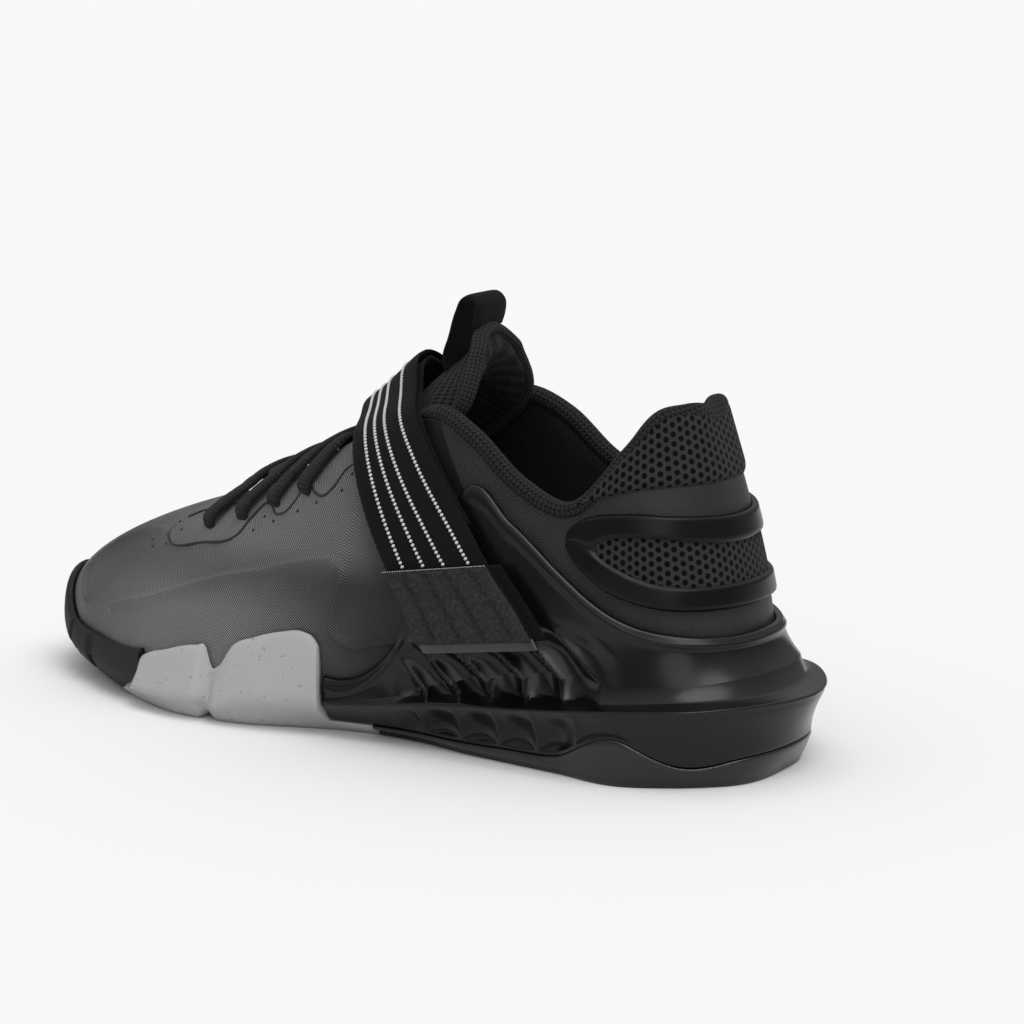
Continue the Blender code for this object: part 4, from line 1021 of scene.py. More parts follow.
def surface_path(places: Sequence, kind: Edge, count: int, lift: float) -> Array:
    """Smooth path over the upper.

    Args:
        places: Pairs of share round the shoe and place on the section.
        kind: What the second number means.
        count: Number of points.
        lift: Distance out from the last, metres.

    Returns:
        The points.
    """
    u = np.array([p[0] * FORM.round for p in places])
    second = np.array([p[1] for p in places], float)
    v = second if kind is Edge.SHARE else FORM.v_below_edge(u, second / 1000)
    points = FORM.point(u, v)
    keys = runs_along(points)
    fine = spread(np.column_stack((u, v)), keys, np.linspace(0, keys[-1], count))
    return FORM.lifted(fine[:, 0], fine[:, 1], lift)


# Upper and mouldings

@dataclass
class Upper:
    """Coated upper with its lining, overlays, perforations and padded collar."""

    columns: int = 760
    rows: int = 74
    lining_rows: int = 24
    binding: float = .0060
    binding_end: float = .462
    mesh_end: float = .2365
    mesh_rows: int = 26
    stitch_end: float = .45
    stitch_drop: float = .0042
    wave: tuple = ((.4000, 17.0), (.3960, 23.5), (.3830, 26.6), (.3500, 27.0), (.3202, 26.7), (.3185, 20.8),
                   (.3135, 16.4), (.3065, 19.3), (.2970, 24.4), (.2905, 25.0), (.2870, 22.4), (.2850, 17.6),
                   (.2805, 17.1), (.2725, 21.4), (.2630, 24.6), (.2575, 22.6), (.2530, 16.4), (.2480, 15.6),
                   (.2400, 21.0))
    toe_overlay: tuple = ((.4000, 17.0), (.3900, 12.0), (.3700, 9.0), (.3450, 9.5))
    panel: tuple = ((.4050, .262), (.3987, .285), (.3660, .365), (.3310, .432), (.2900, .456), (.2498, .464),
                    (.2418, .455), (.2362, .425), (.2375, .360), (.2405, .293), (.2395, .205), (.2326, .168),
                    (.2150, .163), (.1990, .166))
    rand: tuple = ((.4395, .205), (.4443, .228), (.4623, .320), (.4625, .459), (.4575, .575), (.4350, .690),
                   (.4150, .720))
    holes: tuple = ((.3118, 27.1), (.2978, 26.6), (.3086, 22.6), (.2810, 26.2), (.2674, 26.0), (.2786, 21.0),
                    (.2506, 24.6), (.2482, 19.2), (.3991, 18.9), (.3859, 21.0), (.3979, 24.9), (.4111, 30.1),
                    (.3863, 27.8), (.4011, 31.5))
    seam: tuple = ((.129, .900), (.150, .897), (.177, .880), (.205, .853), (.236, .823), (.250, .822))

    def padding(self, u: Array) -> Array:
        """Share of the collar padding round the shoe."""
        outer = u < FORM.round / 2
        distance = np.where(outer, u, FORM.round - u)
        far = np.where(outer, FORM.station(.475, 1), FORM.round - FORM.station(.475, -1))
        near = np.where(outer, FORM.station(.360, 1), FORM.round - FORM.station(.360, -1))
        return np.clip((far - distance) / (far - near), 0, 1)

    def shell(self) -> Object:
        """The hollow upper: film outside, lining inside."""
        columns = self.columns + 1
        u = np.linspace(0, FORM.round, columns)
        v = np.linspace(0, 1, self.rows)
        uu, vv = (a.ravel() for a in np.meshgrid(u, v))
        relief = self.relief(uu, vv)
        outer = FORM.lifted(uu, vv, relief)
        w = np.linspace(1, 0, self.lining_rows)
        ui, vi = (a.ravel() for a in np.meshgrid(u, w))
        bulge = smoothstep(.25, .62, vi) * (1 - .5 * smoothstep(.93, 1, vi))
        inner = FORM.lifted(ui, vi, -(UPPER_WALL + COLLAR_PADDING * self.padding(ui) * bulge))
        rows = self.rows + self.lining_rows
        points = np.concatenate((outer, inner))
        t = runs_along(points.reshape(rows, columns, 3))
        s = np.broadcast_to(u, t.shape)
        faces = grid_faces(rows, columns, wrap_rows=True)
        zones = [0 if k // self.columns < self.rows - 1 else 1 for k in range(len(faces))]
        body = make_mesh("upper_shell", points, faces, np.stack((s, t), 2).reshape(-1, 2), zones=zones)
        body.data.materials.append(CoatedTwill().make())
        body.data.materials.append(Knit("collar_lining", color=(.026, .026, .027)).make())
        return settle(body, "upper", "upper")

    def relief(self, u: Array, v: Array) -> Array:
        """Low relief of the outside: a soft panel, an eyestay and flex creases over the toes."""
        share = u / FORM.round
        side = np.where(share < .5, share, 1 - share)
        flex = self.moulded_lines(u, v)
        for centre, slope, depth in ((.318, .05, .00045), (.338, .02, .00055), (.356, -.02, .00035)):
            crease = np.exp(-((side - centre - slope * (v - .75)) / .006) ** 2)
            flex -= depth * crease * smoothstep(.45, .75, v)
        full = .0005 * smoothstep(.20, .34, v) * (1 - smoothstep(.36, .50, v)) * smoothstep(.245, .262, side)
        return flex + full * (1 - smoothstep(.38, .42, side))

    def moulded_lines(self, u: Array, v: Array) -> Array:
        """Height of the soft moulded lines at places on the upper."""
        points = FORM.point(u, v)
        height = np.zeros_like(u)
        for places, kind, rise, width in ((self.panel, Edge.SHARE, .0019, .0013),
                                          (self.rand, Edge.SHARE, .0014, .0012),
                                          (self.toe_overlay, Edge.BELOW, .0004, .0012),
                                          (self.wave, Edge.BELOW, .0007, .0011)):
            tree = search_tree(surface_path(places, kind, 400, 0.0))
            apart = np.array([tree.find(p)[2] for p in points])
            height += rise * np.exp(-(apart / width) ** 2)
        return height

    def beads(self) -> None:
        """Thin cut edges of the eyestay and the toe overlay."""
        finish = Moulding("film_edge", (.022, .022, .023), .45).make()
        for name, places, width in (("eyestay_edge", self.wave, .0010),
                                    ("toe_edge", self.toe_overlay, .0008)):
            path = surface_path(places, Edge.BELOW, 260, .0005)
            up = path - path.mean(axis=0) + (0, .05, 0)

            def outline(q: float, wide: float = width) -> Array:
                """Outline of the edge, thin at its ends."""
                return rounded(wide, wide, 2.0, 10) * (.3 + .7 * min(1, 12 * q, 12 * (1 - q)))

            settle(swept(name, path, outline, up), "upper", finish=finish)

    def perforations(self) -> Object:
        """Small punched holes of the eyestay and the toe."""
        u = np.array([h[0] for h in self.holes]) * FORM.round
        v = FORM.v_below_edge(u, np.array([h[1] for h in self.holes]) / 1000)
        places = FORM.lifted(u, v, self.relief(u, v))
        tree = Trees.discs(Thread("punched", (.0015, .0015, .0015), .95).make())
        piece = Trees.grown("perforations", places, tree, False, FORM.normal(u, v), Width=.0011, Depth=.00016)
        return settle(piece, "upper")

    def collar_panel(self) -> Object:
        """Spacer mesh round the back of the collar."""
        ends = FORM.throat_station(self.mesh_end, 1), FORM.throat_station(self.mesh_end, -1)
        u = np.concatenate((np.linspace(ends[1], FORM.round, 110, endpoint=False),
                            np.linspace(0, ends[0], 111)))
        top = FORM.read(FORM.top, u)
        shares = (top[:, 0] + REST_FROM_BACK) / LENGTH
        seam_z = spread([[z] for _, z in self.seam], [x for x, _ in self.seam], shares)[:, 0] * ANKLE_HEIGHT
        low = FORM.v_at_height(u, np.minimum(seam_z, top[:, 2] - .0004))
        rows = self.mesh_rows
        w = np.linspace(0, 1, rows)
        vv = low[None, :] + (.998 - low[None, :]) * w[:, None]
        uu = np.broadcast_to(u, vv.shape)
        soft = np.minimum(1, np.minimum(w, 1 - w) * 8) ** .5
        rise = .0004 + .0011 * np.repeat(soft, len(u))
        outer = FORM.lifted(uu.ravel(), vv.ravel(), rise).reshape(rows, -1, 3)
        inner = FORM.lifted(uu.ravel(), vv.ravel(), -.0004).reshape(rows, -1, 3)
        t = runs_along(outer)
        s = runs_along(outer[rows // 2])
        piece = slab("collar_panel", outer, inner, np.stack((np.broadcast_to(s, t.shape), t), 2))
        return settle(piece, "upper", finish=SpacerMesh("collar_mesh", pitch=2.9).make())

    def collar_binding(self) -> Object:
        """Knitted roll along the collar, thickened at the back of the heel."""
        u = np.linspace(FORM.throat_station(self.binding_end, -1) - FORM.round,
                        FORM.throat_station(self.binding_end, 1), 420)
        top = FORM.point(np.mod(u, FORM.round), 1.0)
        down = FORM.point(np.mod(u, FORM.round), .96)
        up = unit(top - down)
        out = FORM.normal(np.mod(u, FORM.round), .99)
        pad = self.padding(np.mod(u, FORM.round))
        nub = np.exp(-np.abs(u / .0175) ** 3)
        path = top - up * (.0011 + .0008 * nub)[:, None] - out * (.0012 + .0009 * pad)[:, None]

        def outline(q: float) -> Array:
            """Outline of the roll at a share of its way."""
            k = int(round(q * (len(u) - 1)))
            ends_taper = min(1.0, 14 * q, 14 * (1 - q)) ** .5
            wide = self.binding * (.82 + .30 * pad[k] + .12 * nub[k])
            return rounded(wide, self.binding * (.92 + .60 * nub[k]), 2.3, 20) * ends_taper

        piece = swept("collar_binding", path, outline, up)
        finish = Knit("binding_knit", color=(.027, .027, .028), wale=1.7, course=1.6, depth=.0007).make()
        return settle(piece, "upper", finish=finish, fill=.8)

    def stitching(self) -> Object:
        """Rows of stitches beside the collar's binding and round its mesh."""
        rows = []
        for low, high in ((FORM.throat_station(self.stitch_end, -1), FORM.round - .001),
                          (.001, FORM.throat_station(self.stitch_end, 1))):
            u = np.linspace(low, high, 160)
            rows.append(FORM.lifted(u, FORM.v_below_edge(u, self.stitch_drop), .0002))
        tree = Trees.stitches(Thread("collar_thread", (.03, .03, .031)).make())
        piece = Trees.grown("collar_stitches", rows, tree, True, Spacing=.0016, Length=.0011, Width=.0004)
        return settle(piece, "upper")

    def build(self) -> None:
        """All of the upper."""
        self.shell()
        self.beads()
        self.perforations()
        self.collar_panel()
        self.collar_binding()
        self.stitching()


@dataclass
class HeelFrame:
    """Moulded eye-shaped frame round the heel's mesh window."""

    rows: tuple = (
        (.067, .800, .715, .600, .525), (.080, .805, .722, .600, .525), (.110, .812, .738, .603, .528),
        (.150, .818, .745, .625, .545), (.185, .812, .735, .668, .580), (.205, .803, .712, .700, .618),
        (.222, .785, .722, .716, .655), (.238, .748, .722, .716, .705))
    thickness: float = .0021
    tip: float = .236
    window_end: float = .206
    columns: int = 261
    arm_rows: int = 13
    window_rows: int = 12

    def levels(self, u: Array) -> tuple[Array, Array, Array, Array]:
        """Top, window top, window bottom and bottom heights round the heel."""
        base, _ = FORM.feather(u)
        share = np.clip((base[:, 0] + REST_FROM_BACK) / LENGTH, self.rows[0][0], self.rows[-1][0])
        values = spread([r[1:] for r in self.rows], [r[0] for r in self.rows], share) * ANKLE_HEIGHT
        return tuple(values.T)

    def run(self, end: float) -> Array:
        """Distances round the heel between the frame's two tips."""
        return np.linspace(FORM.station(end, -1) - FORM.round, FORM.station(end, 1), self.columns)

    def band(self) -> Object:
        """The frame: two bevelled arms with a recess between them that closes at the tips."""
        u = self.run(self.tip)
        top, window_top, window_bottom, bottom = self.levels(u)
        window_top = np.maximum(window_top, window_bottom + .0006)
        t = np.linspace(0, 1, self.arm_rows)
        arm = .10 + .90 * (1 - np.abs(2 * t - 1) ** 12)
        opened = np.clip((window_top - window_bottom) / .004, 0, 1)
        tips = np.clip((FORM.station(self.tip, 1) - np.abs(u)) / .008, .15, 1) ** .5
        heights, lifts = [], []
        for k in range(self.arm_rows):
            heights.append(bottom + (window_bottom - bottom) * t[k])
            lifts.append(arm[k] if t[k] < .5 else arm[k] * opened + (1 - opened))
        for k in (1, 2, 3):
            heights.append(window_bottom + (window_top - window_bottom) * k / 4)
            lifts.append(.02 * opened + (1 - opened))
        for k in range(self.arm_rows):
            heights.append(window_top + (top - window_top) * t[k])
            lifts.append(arm[k] if t[k] > .5 else arm[k] * opened + (1 - opened))
        heights += [top - .0006, bottom + .0006]
        lifts += [-.1, -.1]
        z = np.stack(heights, 1)
        lift = np.stack([np.broadcast_to(v, u.shape) for v in lifts], 1) * (self.thickness * tips)[:, None]
        uu = np.broadcast_to(u[:, None], z.shape)
        v = FORM.v_at_height(uu.ravel(), z.ravel())
        points = FORM.lifted(uu.ravel(), v, lift.ravel())
        return make_mesh("heel_frame_band", points, tube_faces(*z.shape), np.stack((uu, z), 2).reshape(-1, 2))

    def window(self) -> Object:
        """Mesh seen through the frame."""
        u = self.run(self.window_end)
        _, high, low, _ = self.levels(u)
        rows = self.window_rows
        w = np.linspace(0, 1, rows)[:, None]
        z = low - .001 + (high - low + .002) * w
        uu = np.broadcast_to(u, z.shape)
        v = FORM.v_at_height(uu.ravel(), z.ravel())
        outer = FORM.lifted(uu.ravel(), v, .0007).reshape(rows, -1, 3)
        inner = FORM.lifted(uu.ravel(), v, -.0003).reshape(rows, -1, 3)
        return slab("heel_window", outer, inner, np.stack((uu, z), 2))

    def build(self) -> None:
        """The frame and its window."""
        finish = Moulding("frame_satin", (.003, .003, .0032), .30, grain=5000.0, depth=.00002,
                          specular=.18).make()
        settle(self.band(), "moulding", "heel_frame", finish=finish)
        settle(self.window(), "upper", finish=SpacerMesh("window_mesh", pitch=2.8).make())


@dataclass
class Midsole:
    """Heel wedge with its flare, fluted cage and the board under the forefoot."""

    columns: int = 900
    flute_pitch: float = .0127
    flute_depth: float = .0052
    scallop_pitch: float = .0150
    scallop_depth: float = .0034
    slant: float = .95
    bead: float = .0009
    bead_reach: float = .0022
    cord: tuple = (.0022, .0030)
    cord_end: float = .452
    fluted: tuple = (.165, .440)
    wall_end: float = .5265

    def band(self, u: Array) -> tuple[Array, Array]:
        """Distance from the heel along either side, and the share of the fluted stretch there."""
        side = np.where(u < FORM.round / 2, u, FORM.round - u)
        start, end = (FORM.station(share, 1) for share in self.fluted)
        return side, smoothstep(start, start + .022, side) * (1 - smoothstep(end - .012, end, side))

    def flutes(self, u: Array, z: Array, floor: Array) -> Array:
        """Slanted flutes above the ridge: round troughs between sharp crests, fading upward."""
        side, inside = self.band(u)
        trough = np.abs(np.sin(pi * (side - self.slant * (z - floor)) / self.flute_pitch)) ** .65
        reach = smoothstep(.0002, .0022, z - floor) * (1 - smoothstep(.012, .024, z - floor))
        return -self.flute_depth * trough * inside * reach

    def scallops(self, u: Array) -> Array:
        """Depth of the hollows under the ridge."""
        side, inside = self.band(u)
        return self.scallop_depth * (.25 + inside * np.abs(np.sin(pi * side / self.scallop_pitch)) ** .7)

    def profiles(self, u: Array) -> Array:
        """Outline of the wall at each column, from the plate up and down inside to the footbed."""
        foot, part, ridge, ridge_z, wall, rim = FORM.wall(u).T
        base, out = FORM.feather(u)
        x = base[:, 0]
        bottom = underside(x) + PLATE_THICKNESS + GAP
        low_v = FORM.v_at_height(u, rim)
        seat = FORM.lifted(u, 0.0, GAP)
        seat[:, 2] = footbed(x)
        low = part + GAP
        part_out = foot + (ridge - foot) * low / ridge_z
        rows = [off_feather(u, board_out(foot) + MOULD_SEAT, bottom)]
        for q in (0, .08, .18, .3, .42, .55, .68, .8, .9):
            dip = sin(pi * q ** .8) * self.scallops(u)
            z = low + (ridge_z - .0007 - low) * q
            rows.append(off_feather(u, part_out + (ridge - part_out) * q - dip, z))
        rows += [off_feather(u, ridge - .0004, ridge_z - .0007), off_feather(u, ridge, ridge_z - .0003),
                 off_feather(u, ridge - .0003, ridge_z + .0002)]
        rim_out = FORM.lifted(u, low_v, GAP + CAGE_RIM)
        above = ridge_z + .10 * (rim_out[:, 2] - ridge_z) + .0006
        for q in (.12, .28, .46, .64, .82):
            z = ridge_z + .0002 + (above - ridge_z - .0002) * q ** 1.9
            rows.append(off_feather(u, ridge + (wall - ridge) * q + self.flutes(u, z, ridge_z), z))
        start = FORM.v_at_height(u, above)
        thick = wall - ((FORM.lifted(u, start, 0.0)[:, :2] - base) * out).sum(axis=1)
        for q in np.linspace(0, 1, 34) ** 1.5:
            lift = thick + (GAP + CAGE_RIM - thick) * (1 - (1 - q) ** 2.0)
            z = above + (rim_out[:, 2] - above) * q
            lift = np.maximum(lift + self.flutes(u, z, ridge_z), .0010)
            v = start + (low_v - start) * q
            down = (rim_out[:, 2] - z) / self.bead_reach
            rows.append(FORM.lifted(u, v, lift + self.bead * np.exp(-(down - 1) ** 2 * 2.5)))
        rows += [FORM.lifted(u, low_v, GAP + CAGE_RIM * .85) + (0, 0, .0006),
                 FORM.lifted(u, low_v, GAP + CAGE_RIM * .35) + (0, 0, .0008),
                 FORM.lifted(u, low_v, GAP - .0004), FORM.lifted(u, low_v * .5, -.0003), seat]
        body = np.stack(rows, axis=1)
        end = FORM.station(self.wall_end, 1), FORM.station(self.wall_end, -1)
        fore = (u > end[0]) & (u < end[1])
        body[fore, 0] = off_feather(u, board_out(foot) - FOOT_BEVEL, bottom)[fore]
        body[fore, 1] = off_feather(u, board_out(foot), bottom)[fore]
        body[fore, 2:] = seat[fore][:, None]
        return body

    def rim_cord(self) -> None:
        """Soft cord along the rim of the cage, from one tip round the heel to the other, its tone paler than
        the cage's as a painted highlight.
        """
        u = np.linspace(FORM.station(self.cord_end, -1) - FORM.round, FORM.station(self.cord_end, 1), 460)
        place = np.mod(u, FORM.round)
        v = FORM.v_at_height(place, FORM.wall(place)[:, 5])
        path = FORM.lifted(place, v, GAP + CAGE_RIM * .55)
        up = unit(FORM.lifted(place, v + .03, 0.0) - FORM.lifted(place, v, 0.0))
        wide, high = self.cord
        cord = swept("cage_rim", path - up * high / 2,
                     lambda q: rounded(wide, high, 2.4, 16) * min(1, 30 * q, 30 * (1 - q)) ** .5, up)
        # The cord's tone, several times paler than the cage's, is a painted highlight along the upward-facing
        # rim.
        settle(cord, "midsole", finish=Moulding("rim_painted_highlight", (.016, .016, .0165), .30, specular=.4).make())

    def build(self) -> None:
        """The midsole."""
        self.rim_cord()
        u = (np.arange(self.columns) + .5) / self.columns * FORM.round
        profiles = self.profiles(u)
        n, m = profiles.shape[:2]
        faces = grid_faces(n, m, wrap_rows=True) + ring_faces(n, m)
        body = make_mesh("midsole_cage", profiles.reshape(-1, 3), faces)
        finish = Moulding("midsole_satin", (.0035, .0034, .0035), .24, grain=3500.0, depth=.00002,
                          specular=.30).make()
        settle(body, "midsole", "midsole", finish=finish)


@dataclass
class Outsole:
    """Glossy rubber heel plate with side petals."""

    end: float = .475
    side_columns: int = 200

    def build(self) -> None:
        """The heel's outsole."""
        ends = FORM.station(self.end, 1), FORM.station(self.end, -1)
        u = np.concatenate((np.linspace(ends[1], FORM.round - .0005, self.side_columns),
                            np.linspace(.0005, ends[0], self.side_columns)))
        foot, part, ridge, ridge_z, _, _ = FORM.wall(u).T
        out = foot + (ridge - foot) * part / ridge_z
        rows = [off_feather(u, foot - FOOT_BEVEL, 0.0), off_feather(u, foot - .0003, .0004),
                off_feather(u, foot, .0014)]
        for q in (.2, .4, .6, .8):
            swell = foot + (out - foot) * q ** 1.1 + .0004 * sin(pi * q)
            rows.append(off_feather(u, swell, .0014 + (part - .0024) * q))
        rows += [off_feather(u, out + .0002, part - .0009), off_feather(u, out - .0001, part - .0003),
                 off_feather(u, out - .0008, part),
                 off_feather(u, board_out(foot) + MOULD_SEAT, PLATE_THICKNESS)]
        body = crossed_ring("heel_rubber", np.stack(rows, axis=1))
        finish = Moulding("outsole_gloss", (.0045, .0043, .0043), .15, grain=1500.0, depth=.00022,
                          specular=.5).make()
        settle(body, "outsole", "outsole_heel", finish=finish)


def wall_rows(u: Array, foot_u: Array, crown_z: Array, edge: float, bulge: float, ridge_share: float,
              arch: Array, groove: Array, crest: float = 0.0) -> Array:
    """Profiles of a moulded wall from the floor over its crown and down inside to the plate.

    Args:
        u: Station of each profile's crown round the shoe.
        foot_u: Station of its foot.
        crown_z: Height of the crown.
        edge: Thickness at the crown.
        bulge: Thickness at the ridge.
        ridge_share: Height of the ridge as a share of the crown's.
        arch: Rise of the foot over the floor.
        groove: Depth of a groove down the wall.
        crest: Height of a soft crest along the ridge.

    Returns:
        Points, profiles by rows by 3.
    """
    base, _ = FORM.feather(foot_u)
    foot = FORM.wall(foot_u)[:, 0]
    low = underside(base[:, 0])
    floor_edge = off_feather(foot_u, foot - FOOT_BEVEL, low + arch)
    side_edge = off_feather(foot_u, foot, low + FOOT_BEVEL + arch)
    v = FORM.v_at_height(u, crown_z)
    ridge_z = low + (crown_z - low) * ridge_share
    ridge_v = FORM.v_at_height(u, np.maximum(ridge_z, footbed(base[:, 0]) + GAP * 2))
    ridge = FORM.lifted(u, ridge_v, MOULD_SEAT + bulge - groove)
    ridge[:, 2] = np.maximum(ridge_z, side_edge[:, 2] + .0006)
    knots = np.stack((side_edge, side_edge + (ridge - side_edge) * .4, ridge,
                      FORM.lifted(u, v * .85, MOULD_SEAT + edge * 1.6 - groove * .8),
                      FORM.lifted(u, v, MOULD_SEAT + edge - groove * .4)))
    climb = np.linspace(0, 1, 22)
    fade = 1 - groove / max(groove.max(), .0001)
    swell = crest * np.exp(-np.abs(climb - .5) / .15)[:, None] * fade
    flank = spread(knots, [0, .25, .5, .85, 1], climb) + FORM.normal(u, ridge_v) * swell[..., None]
    crown = FORM.lifted(u, v, MOULD_SEAT + edge * .5) + (0, 0, .0005)
    inner = [FORM.lifted(u, share, MOULD_SEAT) for share in (v, v * .5, 0.0)]
    point, _ = FORM.feather(u)
    level = underside(point[:, 0]) + PLATE_THICKNESS
    plate = off_feather(u, board_out(FORM.wall(u)[:, 0]) + MOULD_SEAT, level)
    return np.stack([floor_edge, *flank, crown, *inner, plate], axis=1)


@dataclass
class ForefootClip:
    """Pale forefoot plate with two lobes on each side."""

    rows: tuple = ((.5300, .5290, .300, .250), (.5360, .5340, .322, .270), (.552, .546, .338, .285),
                   (.580, .575, .330, .285), (.612, .610, .300, .270), (.638, .637, .262, .250),
                   (.660, .655, .190, .240), (.668, .6655, .185, .235), (.678, .6720, .240, .230),
                   (.690, .686, .246, .226), (.708, .704, .236, .220), (.750, .732, .210, .200),
                   (.788, .754, .192, .184), (.8200, .7700, .172, .168))
    tail: tuple = (.476, .500, .5285)
    stations: int = 170
    notch: float = .676
    notch_reach: float = .0024
    crest: float = .0016

    def side(self, side: int) -> tuple[Array, Array]:
        """Tail and wall profiles of one side, plus-one for the outer."""
        table = np.array(self.rows)
        keys = np.concatenate(([0], np.abs(np.diff(table[:, 1])).cumsum()))
        fine = spread(table, keys, np.linspace(0, keys[-1], self.stations))
        u = np.array([FORM.station(s, side) for s in fine[:, 1]])
        foot_u = np.array([FORM.station(s, side) for s in fine[:, 0]])
        crown = fine[:, 2 if side > 0 else 3] * ANKLE_HEIGHT
        off = (fine[:, 0] - self.notch) * LENGTH
        arch = .0030 * np.exp(-(off / self.notch_reach) ** 2) * (side > 0)
        groove = .0016 * np.exp(-((fine[:, 1] - self.notch + .008) * LENGTH / .0026) ** 2)
        walls = wall_rows(u, foot_u, crown, .0013, .0048, .36, arch, groove, self.crest)
        tail_u = np.array([FORM.station(s, side) for s in self.tail])
        foot, _, ridge, ridge_z, _, _ = FORM.wall(tail_u).T
        waist = foot + (ridge - foot) * PLATE_THICKNESS / ridge_z
        tails = np.stack((off_feather(tail_u, foot - FOOT_BEVEL, 0.0), off_feather(tail_u, foot, FOOT_BEVEL),
                          off_feather(tail_u, waist, PLATE_THICKNESS),
                          off_feather(tail_u, board_out(foot) + MOULD_SEAT, PLATE_THICKNESS)), axis=1)
        return tails, walls

    def build(self) -> None:
        """The clip."""
        points, faces, chains = [], [], []
        for side in (1, -1):
            tails, walls = self.side(side)
            start = sum(len(p) for p in points)
            points += [tails.reshape(-1, 3), walls.reshape(-1, 3)]
            faces += grid_faces(len(tails), 4, start)
            first = start + len(tails) * 4
            m = walls.shape[1]
            faces += grid_faces(len(walls), m, first)
            last_tail = [start + (len(tails) - 1) * 4 + k for k in range(4)]
            low = [first, first + 1, first + 8, first + m - 1]
            faces += [(last_tail[k], last_tail[k + 1], low[k + 1], low[k]) for k in (0, 2)]
            faces.append([last_tail[1], last_tail[2]] + [first + k for k in range(8, 0, -1)])
            faces.append([first + k for k in range(8, m)])
            end = first + (len(walls) - 1) * m
            faces.append([end + k for k in range(m)])
            chains.append([[start + 4 * k, start + 4 * k + 3] for k in range(len(tails))]
                          + [[first + m * k, first + m * k + m - 1] for k in range(len(walls))])
        for end in (0, 1):
            for (a, b), (c, d) in zip(zip(chains[0], chains[0][1:]), zip(chains[1], chains[1][1:])):
                faces.append((a[end], b[end], d[end], c[end]))
        first, last = (chains[0][0], chains[1][0]), (chains[0][-1], chains[1][-1])
        faces.append([first[0][0] + k for k in range(4)] + [first[1][0] + k for k in range(4)][::-1])
        faces.append([last[0][0], last[0][1], last[1][1], last[1][0]])
        body = make_mesh("clip_plate", np.concatenate(points), faces)
        settle(body, "clip", "forefoot_clip", finish=GrainedClip().make())


@dataclass
class ToeBumper:
    """Rubber round the toe with two lug slots on each side."""

    crown_x: float = .7714
    foot_x: float = .8214
    lead: float = .040
    slots: tuple = (.882, .925)
    columns: int = 420

    def build(self) -> None:
        """The bumper."""
        crown = FORM.station(self.crown_x, 1), FORM.station(self.crown_x, -1)
        foot = FORM.station(self.foot_x, 1), FORM.station(self.foot_x, -1)
        u = np.linspace(*crown, self.columns)
        foot_u = (u + (foot[0] - crown[0]) * np.maximum(0, 1 - (u - crown[0]) / self.lead)
                  + (foot[1] - crown[1]) * np.maximum(0, 1 - (crown[1] - u) / self.lead))
        base, _ = FORM.feather(u)
        height = np.maximum(FORM.wall(u)[:, 5], footbed(base[:, 0]) + .0018)
        arch = np.zeros_like(u)
        groove = np.zeros_like(u)
        for share in self.slots:
            for side in (1, -1):
                near = np.abs(foot_u - FORM.station(share, side))
                arch = np.maximum(arch, .0042 * (1 - smoothstep(.0011, .0019, near)))
                groove = np.maximum(groove, .0012 * (1 - smoothstep(.0011, .0019, near)))
        walls = wall_rows(u, foot_u, height, .0014, .0036, .45, arch, groove)
        body = crossed_ring("toe_rubber", walls)
        finish = Moulding("bumper_rubber", (.015, .015, .015), .66, grain=1300.0, depth=.00022,
                          mottle=.35).make()
        settle(body, "bumper", "toe_bumper", finish=finish)


@dataclass
class Insole:
    """Footbed seen through the collar."""

    columns: int = 240
    thickness: float = .0040

    def build(self) -> None:
        """The insole."""
        u = (np.arange(self.columns) + .5) / self.columns * FORM.round
        base, out = FORM.feather(u)
        level = footbed(base[:, 0]) + GAP
        inside = FORM.lifted(u, FORM.v_at_height(u, level + .001), -(UPPER_WALL + .0010))
        z = footbed(inside[:, 0]) + GAP
        spots, high = inside[:, :2], z + self.thickness
        profiles = np.stack((np.column_stack((spots, z)), np.column_stack((spots, high - .0008)),
                             np.column_stack((spots - out * .0012, high))), axis=1)
        n, m = profiles.shape[:2]
        faces = grid_faces(n, m, wrap_rows=True) + ring_faces(n, m)
        flat = profiles.reshape(-1, 3)
        body = make_mesh("insole_pad", flat, faces, flat[:, :2])
        finish = Knit("insole_cloth", color=(.012, .012, .012), wale=.6).make()
        settle(body, "insole", "insole", finish=finish)


# Tongue, strap and laces

def grid_normals(lines: Array) -> Array:
    """Normals of a grid of points, rows by the first index."""
    return unit(np.cross(np.gradient(lines, axis=1), np.gradient(lines, axis=0)))


def dense(lines: Array, rows: int, columns: int) -> Array:
    """A smooth finer grid through a coarse one, with columns closer toward both edges."""
    down = np.linalg.norm(np.diff(lines, axis=0), axis=2).mean(axis=1)
    keys = np.concatenate(([0], down.cumsum()))
    flat = spread(lines.reshape(len(lines), -1), keys, np.linspace(0, keys[-1], rows))
    across = flat.reshape(rows, lines.shape[1], 3).transpose(1, 0, 2).reshape(lines.shape[1], -1)
    w = (1 + np.sin(np.linspace(-pi / 2, pi / 2, columns))) / 2
    wide = spread(across, np.linspace(0, 1, lines.shape[1]), w)
    return wide.reshape(columns, rows, 3).transpose(1, 0, 2)


